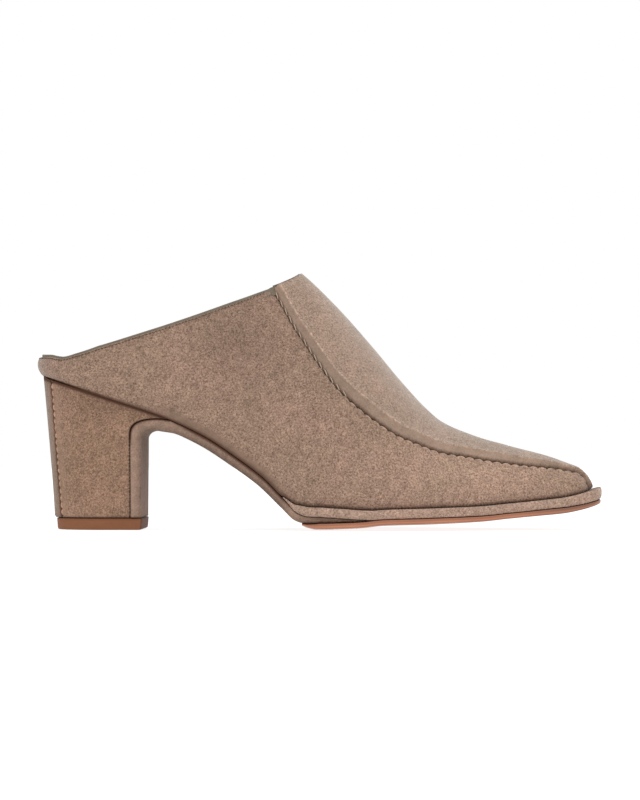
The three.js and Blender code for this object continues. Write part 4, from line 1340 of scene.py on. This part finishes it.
def top_piece_grid(side):
    """Rows: middle of the tread, profile upwards, middle of the top; columns go round the D."""
    z = np.array([0, 0, 0.12, 0.4, 1.2, 2.5, 3.8, 4.6, 4.9, TOP_PIECE_THICK, TOP_PIECE_THICK])[:, None]
    inset = np.array([2.5, 0.75, 0.45, 0.25, 0.1, 0, -0.1, -0.15, -0.1, 0.2, 2.0])[:, None] + TOP_PIECE_INSET
    forward, out = heel_back(ROUND_COLUMNS)
    turn = np.linspace(0, 1, 9) * math.pi / 2
    half = HEEL_BASE_WIDTH / 2 - inset
    round_x = HEEL_BASE_BACK + inset + (HEEL_BACK_ROUND - inset) * forward
    corner_x = BREAST_AT + TOP_PIECE_INSET - inset - CORNER + CORNER * np.sin(turn)
    x = np.concatenate([round_x, corner_x], axis=1)
    y = side * np.concatenate([half * out, half - CORNER + CORNER * np.cos(turn)], axis=1)
    points = closed(np.stack(np.broadcast_arrays(x, y, z), -1), ends=(0, 1))
    # Painted shade on the front face, and along the joint under the heel.
    front = TOP_FRONT_PAINTED_SHADE * ease((np.arange(points.shape[1]) - ROUND_COLUMNS - 2) / 4)[None]
    dark = np.clip(0.8 * bell(points[..., 2], TOP_PIECE_THICK, 0.35) + front, 0, 1)
    return dict(points=points, values={"fold": dark})


lift = [top_piece_grid(side) for side in SIDES]
mesh_piece("top_lift", lift, LIFT, "top_piece")


# %% [markdown]
# ## Insole
# The sock on which the foot stands is a padded leather sheet that rises a little towards its edges.
# It is seen through the open back.

# %% Build the insole
INSOLE_THICK = 3.4
INSOLE_SHORT = 8
INSOLE_TIP = 14


def insole_grid(side):
    """Rows from the underside's middle round the edge to the top's middle, raised near the edge."""
    offset = -WALL - 2 * GAP
    rise = np.array([0, 1.2, 2.4, 3.0, 3.3, INSOLE_THICK])[:, None]
    inset = np.array([0, 0, 0.15, 0.5, 1.0, 1.9])[:, None]
    turn = np.linspace(0, 1, 40)
    up = rise / height(HEEL_ROUND * (1 - heel_turn(turn)[0]), 0.0)
    back = back_point(np.broadcast_to(turn, up.shape), side, up, offset)
    end = UPPER_LENGTH - INSOLE_SHORT
    x = HEEL_ROUND + (end - inset - HEEL_ROUND) * np.sin(np.linspace(0, 1, 120)[1:] * math.pi / 2) ** 0.9
    front = skin_point(x, side, np.minimum(0.9, rise / height(x, 0.0)), offset)
    front[..., 0] = x
    front[..., 1] *= rounding((x - end + INSOLE_TIP) / (INSOLE_TIP - inset), 2.3)
    edge = np.concatenate([back, front], axis=1)
    edge[..., 1] -= side * np.minimum(inset, np.abs(edge[..., 1]))
    edge[..., 2] = seat(edge[..., 0]) + rise
    spread = np.linspace(1, 0, 8)[1:, None]
    top = np.stack(np.broadcast_arrays(edge[-1, :, 0], edge[-1, :, 1] * spread, edge[-1, :, 2]), -1)
    top[..., 2] -= 0.5 * (1 - spread**2) * np.clip(np.abs(edge[-1, :, 1]) / 20, 0, 1)
    return dict(points=np.concatenate([on_middle(edge[:1]), edge, top]))


mesh_piece("insole_sock", [insole_grid(side) for side in SIDES], INSOLE, "insole")


# %% [markdown]
# ## Threads
# A stitch is a short bent tube. All of them are worked out at once: an array of starts, ends and
# directions gives the middle lines, and a ring of points is carried along every line in one step.

# %% Many short threads as one piece
def thread_tubes(start, end, lift, radius, along=9, around=8):
    """Middle line: straight from start to end plus lift times a half sine; ring round it by normals."""
    t = np.linspace(0, 1, along)[None, :, None]
    line = start[:, None] * (1 - t) + end[:, None] * t + lift[:, None] * np.sin(math.pi * t)
    tangent = unit(np.gradient(line, axis=1))
    first = unit(np.cross(tangent, lift[:, None]))
    second = np.cross(tangent, first)
    thick = radius * np.sin(math.pi * np.linspace(0.04, 0.96, along))[None, :, None, None] ** 0.35
    angle = np.linspace(0, 2 * math.pi, around, endpoint=False)[:, None]
    ring = first[:, :, None] * np.cos(angle) + second[:, :, None] * np.sin(angle)
    return line[:, :, None] + ring * thick


# %% Threads as a mesh
def thread_piece(name, tubes, material):
    """One mesh of many closed tubes: quads between rings and a fan of one polygon at each end."""
    count, along, around = tubes.shape[:3]
    n = np.arange(count)[:, None, None] * along * around
    i = np.arange(along - 1)[None, :, None] * around
    j = np.arange(around)[None, None]
    k = (j + 1) % around
    quads = np.stack(np.broadcast_arrays(n + i + j, n + i + k, n + i + around + k, n + i + around + j), -1)
    first = n[:, 0] + np.arange(around)[::-1]
    last = n[:, 0] + (along - 1) * around + np.arange(around)
    mesh = bpy.data.meshes.new(name)
    faces = quads.reshape(-1, 4).tolist() + first.tolist() + last.tolist()
    mesh.from_pydata(in_frame(tubes.reshape(-1, 3)), [], faces)
    add_piece(name, mesh, material)


def line_samples(points, wanted, run=None):
    """Points at wanted distances along a line; run holds the distances of another one beside it."""
    run = running_length(points) if run is None else run
    return np.stack([np.interp(wanted, run, points[:, k]) for k in range(3)], -1)


# %% Threads over the seam, from the throat to the ball
SEAM_THREADS_FROM, SEAM_THREADS_TO = 5.2, 62.0
SLANT = 0.95
seam_tubes = []
for side in SIDES:
    walk = np.linspace(2, 3, 800)
    top = column_top(walk)
    tall = np.maximum(height(column_place(walk)[1], 0.0), 1)
    edge = side_point(walk, side, top, 0.0)
    run = running_length(edge)
    beats = np.arange(SEAM_THREADS_FROM, SEAM_THREADS_TO, STITCH_PITCH)
    low = line_samples(side_point(walk, side, top - 0.9 / tall, 0.75), beats + SLANT, run)
    high = line_samples(side_point(walk, side, top + 0.2 / tall, 1.1), beats - SLANT, run)
    outer = line_samples(side_point(walk, side, top, 1.0), beats, run)
    away = unit(outer - line_samples(edge, beats, run))
    seam_tubes.append(thread_tubes(low, high, away * 0.2, 0.24))
thread_piece("seam_threads", np.concatenate(seam_tubes), THREAD)

# %% Stitches under the top line
HALF_STITCH = 0.42
topline_tubes = []
for side in SIDES:
    place, upward, normal = collar_frame(side)
    rim_end = running_length(place)[RIM_COLUMNS - 1]
    line = place - upward * (COLLAR_RISE + STITCH_BELOW) - normal * 0.1
    beats = np.arange(0.8, rim_end - 2.0, TOPLINE_STITCH)
    start = line_samples(line, beats - HALF_STITCH)
    end = line_samples(line, beats + HALF_STITCH)
    lift = line_samples(normal, beats)
    topline_tubes.append(thread_tubes(start, end, lift * 0.16, 0.2, 5, 6))
thread_piece("topline_threads", np.concatenate(topline_tubes), DARK_THREAD)

# %% [markdown]
# ## Camera and light
# The shoe was photographed from the side with a long lens, a metre away and close to the floor, so
# the near top line hides the inside. The light is a white room: it comes from everywhere, a little
# more from above and in front. The floor is pale and so bright that it meets the backdrop.

# %% Camera
CAMERA_AWAY = 1.0
CAMERA_HEIGHT = 0.027
PIXELS_PER_METRE = 1 / 0.000437
IMAGE_HEIGHT = 800
SENSOR = 36.0
HORIZON_ROW = 466.8
CENTRE_X = 0.1232

camera = bpy.data.objects.new("camera", bpy.data.cameras.new("camera"))
bpy.context.collection.objects.link(camera)
centre_x = CENTRE_X + ORIGIN[0] / 1000
aim_height = CAMERA_HEIGHT + (HORIZON_ROW - IMAGE_HEIGHT / 2) / PIXELS_PER_METRE
camera.location = (centre_x, -CAMERA_AWAY + ORIGIN[1] / 1000, CAMERA_HEIGHT)
pitch = math.atan2(aim_height - CAMERA_HEIGHT, CAMERA_AWAY)
camera.rotation_euler = (math.pi / 2 + pitch, 0, 0)
camera.data.sensor_width = SENSOR
camera.data.lens = CAMERA_AWAY * PIXELS_PER_METRE * SENSOR / IMAGE_HEIGHT
bpy.context.scene.camera = camera
print("lens", round(camera.data.lens, 1), "mm, pitch", round(math.degrees(pitch), 2), "degrees")

# %% Light
bpy.context.scene.view_settings.view_transform = "Standard"
world = bpy.data.worlds.new("white room")
bpy.context.scene.world = world
world.use_nodes = True
set_inputs(world.node_tree, world.node_tree.nodes["Background"], Color=(1, 1, 1, 1), Strength=1.0)

# A sun as wide as a ceiling: its light comes from a direction and is the same everywhere.
SUN_TOWARDS = (-0.15, 0.25, -1)
lamp = bpy.data.lights.new("ceiling", "SUN")
lamp.energy = 0.9
lamp.angle = math.radians(100)
light = bpy.data.objects.new("ceiling", lamp)
light.rotation_euler = Vector(SUN_TOWARDS).to_track_quat("-Z", "Y").to_euler()
bpy.context.collection.objects.link(light)

# %% Floor
FLOOR_REACH = 60.0
FLOOR_LEVEL = -0.0002
floor_material, tree, shader = new_material("pale floor")
set_inputs(tree, shader, Base_Color=(0.3, 0.3, 0.3, 1), Roughness=0.6, Specular_IOR_Level=0)
set_inputs(tree, shader, Emission_Color=(1, 1, 1, 1), Emission_Strength=0.85)
floor_mesh = bpy.data.meshes.new("floor")
corners = [(FLOOR_REACH * x, FLOOR_REACH * y, FLOOR_LEVEL) for x, y in ((-1, -1), (1, -1), (1, 1), (-1, 1))]
floor_mesh.from_pydata(corners, [], [(0, 1, 2, 3)])
floor_mesh.materials.append(floor_material)
floor = bpy.data.objects.new("floor", floor_mesh)
bpy.context.collection.objects.link(floor)

# %% Which solids of the frame are shown and which are replaced
for node_name, node_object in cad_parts.items():
    print("node", node_name, "shown" if not node_object.hide_render else "replaced")
